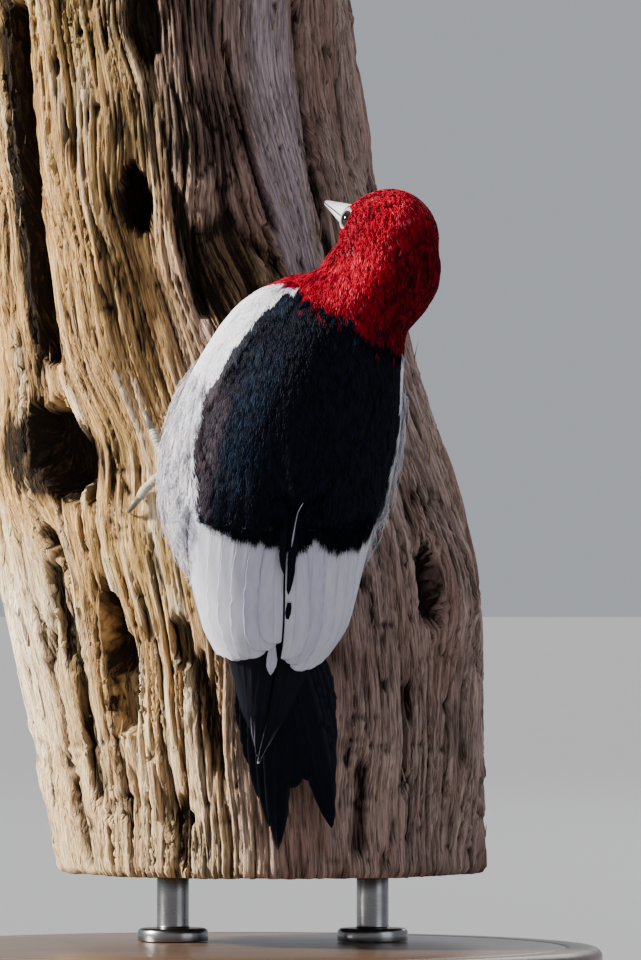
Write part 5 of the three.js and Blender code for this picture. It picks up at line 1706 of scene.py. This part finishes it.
def wood_finish():
    r = Recipe("trunk_finish")
    dark, sunlit_ochre, fibre, end = r.marks()
    pale, strip, red, moss = r.marks("zones")
    _, turn, height = r.across_map("grain")
    turn, height = turn * (2 * math.pi), height * GRAIN_TALL

    def streaks(across, up, detail=4, rough=0.6):
        where = r.add("ShaderNodeCombineXYZ", {}, {
            "X": turn.math("COSINE", turn) * (GRAIN_RADIUS * across), "Y": turn.wave() * (GRAIN_RADIUS * across),
            "Z": height * up})
        return r.cloud(vector=where, detail=detail, rough=rough)

    strands, hairs, broad = streaks(0.5, 0.032), streaks(1.9, 0.1, 4, 0.7), streaks(0.08, 0.02, 4)
    lines = 1 - (streaks(0.42, 0.02, 3, 0.55) - 0.5).magnitude().ramp(0.0, 0.03)
    fine_lines = 1 - (streaks(1.1, 0.05, 3, 0.6) - 0.5).magnitude().ramp(0.0, 0.05)
    speck = r.cloud((0.7, 0.7, 0.5), detail=4, rough=0.7)
    light = (strands * 1.4 + hairs * 2.3 + fibre * 0.45 - 1.6).limited()
    # warm is the golden side in painted sunlight, cool the weathered side in painted shade; both also carry the
    # wood's own colours.
    warm = r.blend(light, (0.11, 0.042, 0.012), colours().sunlit_ochre)
    warm = r.blend((moss * (speck * 1.6 - 0.3)).limited() * 0.5, warm, (0.3, 0.25, 0.06))
    cool = r.blend(light, (0.1, 0.058, 0.045), colours().grey_and_shade)
    cool = r.blend((red * (hairs * 1.6 - 0.15)).limited() * 0.5, cool, (0.21, 0.075, 0.05))
    cool = r.blend(strip * 0.8, cool, r.blend(light, (0.16, 0.125, 0.14), (0.56, 0.48, 0.54)))
    colour = r.blend(sunlit_ochre, cool, warm)
    colour = r.blend((broad * 2.4 - 1.25).limited() * 0.35, colour, (0.46, 0.34, 0.2))
    colour = r.blend((pale * (0.2 + 1.1 * light)).limited(), colour, colours().painted_sun_highlight)
    seams = lines * (broad * 2.5 - 0.75).limited() * 0.9 + fine_lines * (speck * 2.2 - 0.7).limited() * 0.6
    seams = seams.limited()
    # gloom: the painted shade and the dark grain lines, in near-black.
    gloom = (dark * 1.1 + seams * 0.7 + (1 - hairs) * 0.2 + (1 - speck) * 0.2 - 0.33).limited()
    colour = r.blend(gloom, colour, colours().hollow)
    rings = ((sunlit_ochre * END_RADIUS + r.cloud((0.03, 0.03, 0.03)) * 14) * 2.1).wave() * 0.5 + 0.5
    cut = r.blend((rings * 0.6 + speck * 0.5 - 0.15).limited(), (0.2, 0.12, 0.06), (0.42, 0.3, 0.17))
    colour = r.blend(end, colour, r.blend((dark * 1.2).limited(), cut, colours().hollow))
    rough = (0.74 + 0.24 * hairs).limited()
    normal = r.bump(hairs * 1.1 + strands * 0.9 - seams * 0.9 + speck * 0.3 + rings * end * 0.3, 1.0, 0.85)
    return r.done(colour, rough, normal, specular_ior_level=0.15)


def add_splinters(ground):
    """Slivers of wood scattered over the rough bark by a node tree, as one mesh."""
    r = Recipe("splinter_finish")
    hairs = r.cloud((1.2, 1.2, 0.2))
    r.done(r.blend(hairs, (0.16, 0.09, 0.045), (0.5, 0.36, 0.2)), 0.7 + 0.2 * hairs, r.bump(hairs, 0.4, 0.2))
    values = {"Density": 5200.0, "Length": 5.5 * MM, "Thickness": 0.32 * MM, "Seed": SEED, "Finish": r.material}
    kinds = {"Seed": "Int", "Finish": "Material"}
    tree = bpy.data.node_groups.new("splinters", "GeometryNodeTree")
    new = tree.interface.new_socket
    new("Geometry", in_out="INPUT", socket_type="NodeSocketGeometry")
    ids = {name: new(name, in_out="INPUT", socket_type="NodeSocket" + kinds.get(name, "Float")).identifier
           for name in values}
    new("Geometry", in_out="OUTPUT", socket_type="NodeSocketGeometry")
    t = NodeMaker(tree)
    given = {s.name: Wire(t, s) for s in tree.nodes.new("NodeGroupInput").outputs}
    seed = given["Seed"]
    points = t.add("GeometryNodeDistributePointsOnFaces", {"distribute_method": "RANDOM"},
                   {"Mesh": given["Geometry"], "Density": given["Density"], "Seed": seed})
    sliver = t.add("GeometryNodeMeshCone", {"fill_type": "NGON"}, {
        "Vertices": 4, "Side Segments": 2, "Radius Bottom": given["Thickness"], "Depth": given["Length"]})
    lean = t.add("FunctionNodeRandomValue", {"data_type": "FLOAT_VECTOR"},
                 {0: (-0.28, -0.28, 0), 1: (0.28, 0.28, 6.28), "Seed": seed})
    stretch = t.add("FunctionNodeRandomValue", {"data_type": "FLOAT_VECTOR"},
                    {0: (0.5, 0.5, 0.3), 1: (1.5, 1.1, 1.4), "Seed": seed})
    spread = t.add("GeometryNodeInstanceOnPoints", {}, {
        "Points": points, "Instance": sliver, "Rotation": lean, "Scale": stretch})
    real = t.add("GeometryNodeRealizeInstances", {}, {"Geometry": spread})
    real = t.add("GeometryNodeSetMaterial", {}, {"Geometry": real, "Material": given["Finish"]})
    t.add("NodeGroupOutput", {}, {"Geometry": real})
    host = put("splinter_host", ground)
    modifier = host.modifiers.new("splinters", "NODES")
    modifier.node_group = tree
    for name, value in values.items():
        modifier[ids[name]] = value
    points, _, triangles = numbers(finished(host))
    bpy.data.node_groups.remove(tree)
    mesh = mesh_from(points, triangles)
    add_piece("splinters", mesh, r.material, "trunk_wood")


class MakeTrunk(bpy.types.Operator):
    """The cut length of cracked, weathered trunk, with splinters standing off it"""

    bl_idname = "woodpecker.make_trunk"
    bl_label = "Trunk"

    def execute(self, context):
        s = sizes()
        around = s.trunk_around
        turn = np.linspace(-np.pi, np.pi, around, endpoint=False)
        turn = turn - 0.35 * np.sin(turn)  # closer together at the front
        z = np.linspace(TRUNK_FOOT, TRUNK_TOP, s.trunk_rows)
        turn, z = np.meshgrid(turn, z)
        lift, marks, zones = wood_relief(turn, z)
        lift = lift - 1.2 * (1 - smooth(np.minimum(z - TRUNK_FOOT, TRUNK_TOP - z), 0, 1.4))
        side = bark_at(turn, z, lift)
        top, top_marks = cut_end(side[-1], 1, 51)
        foot, foot_marks = cut_end(side[0], -1, 52)
        rings = np.concatenate((foot[::-1], side, top))
        mesh, _ = solid(rings)
        marks = np.concatenate((foot_marks[::-1], marks, top_marks)).reshape(-1, 4)
        set_marks(mesh, np.concatenate((marks, [foot_marks[-1, 0], top_marks[-1, 0]])))
        empty = np.zeros((len(foot), around, 4))
        zones = np.concatenate((empty, zones, empty)).reshape(-1, 4)
        set_marks(mesh, np.concatenate((zones, np.zeros((2, 4)))), "zones")
        bent = grain_turn(turn, z) / (2 * np.pi)
        grain = np.concatenate((np.repeat(bent[:1], len(foot), 0), bent, np.repeat(bent[-1:], len(top), 0)))
        height = np.concatenate([np.full((len(foot), around), TRUNK_FOOT), z,
                                 np.full((len(top), around), TRUNK_TOP)])
        grain = rows(grain, height / GRAIN_TALL).reshape(-1, 2)
        set_map(mesh, "grain", np.concatenate((grain, [[0, 0.12], [0, 1]])), 1.0)
        share = (turn[:1] / (2 * np.pi) + 0.5) * 0.99
        run = np.linspace(0, 1, len(rings))
        place = rows(share, run[:, None]).reshape(-1, 2)
        set_map(mesh, "OFBake", np.concatenate((place, [[0.5, 0.0], [0.5, 1.0]])), 0.99)
        add_piece("trunk", mesh, wood_finish(), "trunk_wood", "perch_trunk")
        faces = grid_faces(len(side), around, closed=True)
        rough = (worn_share(turn, z) < 0.2) & (lift > -1.6)  # not where feet and tail rub, nor in the cracks
        faces = faces[rough.reshape(-1)[faces].all(1)]
        add_splinters(mesh_from(side.reshape(-1, 3), faces))
        return {"FINISHED"}


def lathe(name, outline, at, around, finish, slot, *replaced):
    turn = round_turns(around)
    outline = np.array(outline, float)
    radius, height = outline[:, :1], outline[:, 1:]
    rings = rows(radius * np.cos(turn), radius * np.sin(turn), height)
    made = add_piece(name, solid(rings + np.array(at))[0], finish, slot, *replaced)
    bevel = made.modifiers.new("edges", "BEVEL")
    bevel.width, bevel.segments, bevel.limit_method = 0.15 * MM, 2, "ANGLE"


def base_finish():
    r = Recipe("base_finish")
    along = r.place((0.012, 0.16, 0.16))
    grain = r.cloud(vector=along, detail=5, rough=0.6, warp=0.6)
    pores = r.cloud((0.12, 2.4, 2.4))
    rings = ((grain * 26).wave() * 0.5 + 0.5)
    colour = r.blend(rings * 0.75, colours().base, (0.15, 0.08, 0.042))
    colour = r.blend((pores * 2.4 - 1.45).limited(), colour, (0.014, 0.009, 0.006))
    normal = r.bump(rings * 0.3 - pores, 0.2, 0.1)
    return r.done(colour, 0.3 + 0.14 * pores, normal, coat_weight=0.35, coat_roughness=0.2)


def rod_finish():
    r = Recipe("rod_finish")
    lines = r.cloud((0.2, 0.2, 9.0))
    blotch = r.cloud((0.2, 0.2, 0.2))
    colour = r.blend(blotch, (0.2, 0.205, 0.215), (0.3, 0.305, 0.315))
    return r.done(colour, 0.18 + 0.14 * lines, r.bump(lines, 0.12, 0.05), metallic=1.0)


class MakeStand(bpy.types.Operator):
    """The turned base and the two steel rods"""

    bl_idname = "woodpecker.make_stand"
    bl_label = "Stand"

    def execute(self, context):
        s = sizes()
        radius, height = s.base_radius / MM, s.base_height / MM
        outline = [(radius - 1.0, 0.0), (radius, 1.0)]
        outline += [(radius, 1.0 + (height - 4.2) * k / 4) for k in range(1, 5)]
        outline += [(radius - 3 + 3 * math.cos(a), height - 3 + 3 * math.sin(a)) for a in np.linspace(0.15, 1.57, 9)]
        outline += [(radius - 10, height), (radius - 10.6, height - 0.5), (radius - 11.6, height - 0.5),
                    (radius - 12.2, height), (radius * 0.6, height), (radius * 0.25, height)]
        lathe("base_disc", outline, (0, 0, 0), 160, base_finish(), "base_wood", "stand_base")
        length = TRUNK_FOOT - height - 0.7
        rod = [(11, 0), (11, 2.6), (10.7, 3.4), (10, 3.9), (9, 4), (5.4, 4), (5.05, 4.4), (5, 5), (5, 9), (5, 14),
               (5, length)]
        steel = rod_finish()
        for name, side in SIDES.items():
            at = (float(trunk_x(TRUNK_FOOT)) + side * 31, AXIS_Y, height + 0.35)
            lathe(f"rod_{name}", rod, at, 64, steel, "rod_steel", f"stand_rod_{name}")
        return {"FINISHED"}


# ------------------------------ stage


FLOOR_RADIUS, FLOOR_HEIGHT, FLOOR_AROUND = 9000, -0.2, 96
CAMERA_AT = (0.02535, -3.277, 0.1574)
LIT = (0.01, -0.05, 0.16)  # the place on the bird that the lights face


def add_light(name, kind, at, power, colour):
    data = bpy.data.lights.new(name, kind)
    data.energy, data.color = power, colour
    if kind == "SUN":
        data.angle = math.radians(7)
    else:
        data.size = 1.2
    made = put(name, data)
    made.location = at
    made.rotation_euler = (Vector(LIT) - Vector(at)).to_track_quat("-Z", "Y").to_euler()


class MakeStage(bpy.types.Operator):
    """Pale floor, soft studio light and the camera"""

    bl_idname = "woodpecker.make_stage"
    bl_label = "Floor, light and camera"

    def execute(self, context):
        turn, i = round_turns(FLOOR_AROUND), np.arange(FLOOR_AROUND)
        ring = rows(FLOOR_RADIUS * np.cos(turn), FLOOR_RADIUS * np.sin(turn), FLOOR_HEIGHT)
        points = np.concatenate(([[0, 0, FLOOR_HEIGHT]], ring))
        floor = put("floor", mesh_from(points, rows(0, 1 + i, 1 + (i + 1) % FLOOR_AROUND)))
        r = Recipe("floor_finish")
        soft = r.cloud((0.004, 0.004, 0.004), detail=2)
        colour = r.blend(soft, colours().floor, tuple(0.97 * c for c in colours().floor))
        floor.data.materials.append(r.done(colour, 0.75 + 0.1 * soft))
        add_light("key", "SUN", (-1.7, -0.24, 1.0), 16, (1.0, 0.94, 0.84))
        add_light("fill", "AREA", (1.5, -1.3, 0.6), 7, (0.95, 0.96, 1.0))
        add_light("back", "AREA", (0.7, 1.6, 1.3), 14, (1.0, 1.0, 1.0))
        world = bpy.data.worlds.new("studio")
        world.use_nodes = True
        world.node_tree.nodes["Background"].inputs["Color"].default_value = (0.8, 0.84, 0.9, 1)
        world.node_tree.nodes["Background"].inputs["Strength"].default_value = 0.5
        context.scene.world = world
        camera = bpy.data.cameras.new("camera")
        camera.lens, camera.sensor_width = 400, 36
        camera.clip_start, camera.clip_end = 0.1, 50
        eye = put("camera", camera)
        eye.location = CAMERA_AT
        eye.rotation_euler = (math.radians(90), 0, 0)
        context.scene.camera = eye
        return {"FINISHED"}


# ------------------------------ panel and start


class WoodpeckerPanel(bpy.types.Panel):
    """Sizes, colours and pieces of the woodpecker"""

    bl_idname = "VIEW3D_PT_woodpecker"
    bl_label = "Woodpecker"
    bl_space_type = "VIEW_3D"
    bl_region_type = "UI"
    bl_category = "Woodpecker"

    def draw(self, context):
        for group in (context.scene.woodpecker_sizes, context.scene.woodpecker_colours):
            box = self.layout.box()
            for name in group.__annotations__:
                box.prop(group, name)
        for step in STEPS:
            self.layout.operator(step.bl_idname)


STEPS = (MakeSkin, MakeCoat, MakeWings, MakeTail, MakeBill, MakeEyes, MakeFeet, MakeTrunk, MakeStand, MakeStage)
CLASSES = (WoodpeckerSizes, WoodpeckerColours, *STEPS, WoodpeckerPanel)


def register():
    for cls in CLASSES:
        bpy.utils.register_class(cls)
    bpy.types.Scene.woodpecker_sizes = bpy.props.PointerProperty(type=WoodpeckerSizes)
    bpy.types.Scene.woodpecker_colours = bpy.props.PointerProperty(type=WoodpeckerColours)


def unregister():
    del bpy.types.Scene.woodpecker_colours
    del bpy.types.Scene.woodpecker_sizes
    for cls in reversed(CLASSES):
        bpy.utils.unregister_class(cls)


def main():
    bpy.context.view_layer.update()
    register()
    bpy.ops.woodpecker.make_skin()
    bpy.ops.woodpecker.make_coat()
    bpy.ops.woodpecker.make_wings()
    bpy.ops.woodpecker.make_tail()
    bpy.ops.woodpecker.make_bill()
    bpy.ops.woodpecker.make_eyes()
    bpy.ops.woodpecker.make_feet()
    bpy.ops.woodpecker.make_trunk()
    bpy.ops.woodpecker.make_stand()
    bpy.ops.woodpecker.make_stage()


if __name__ == "__main__":
    main()
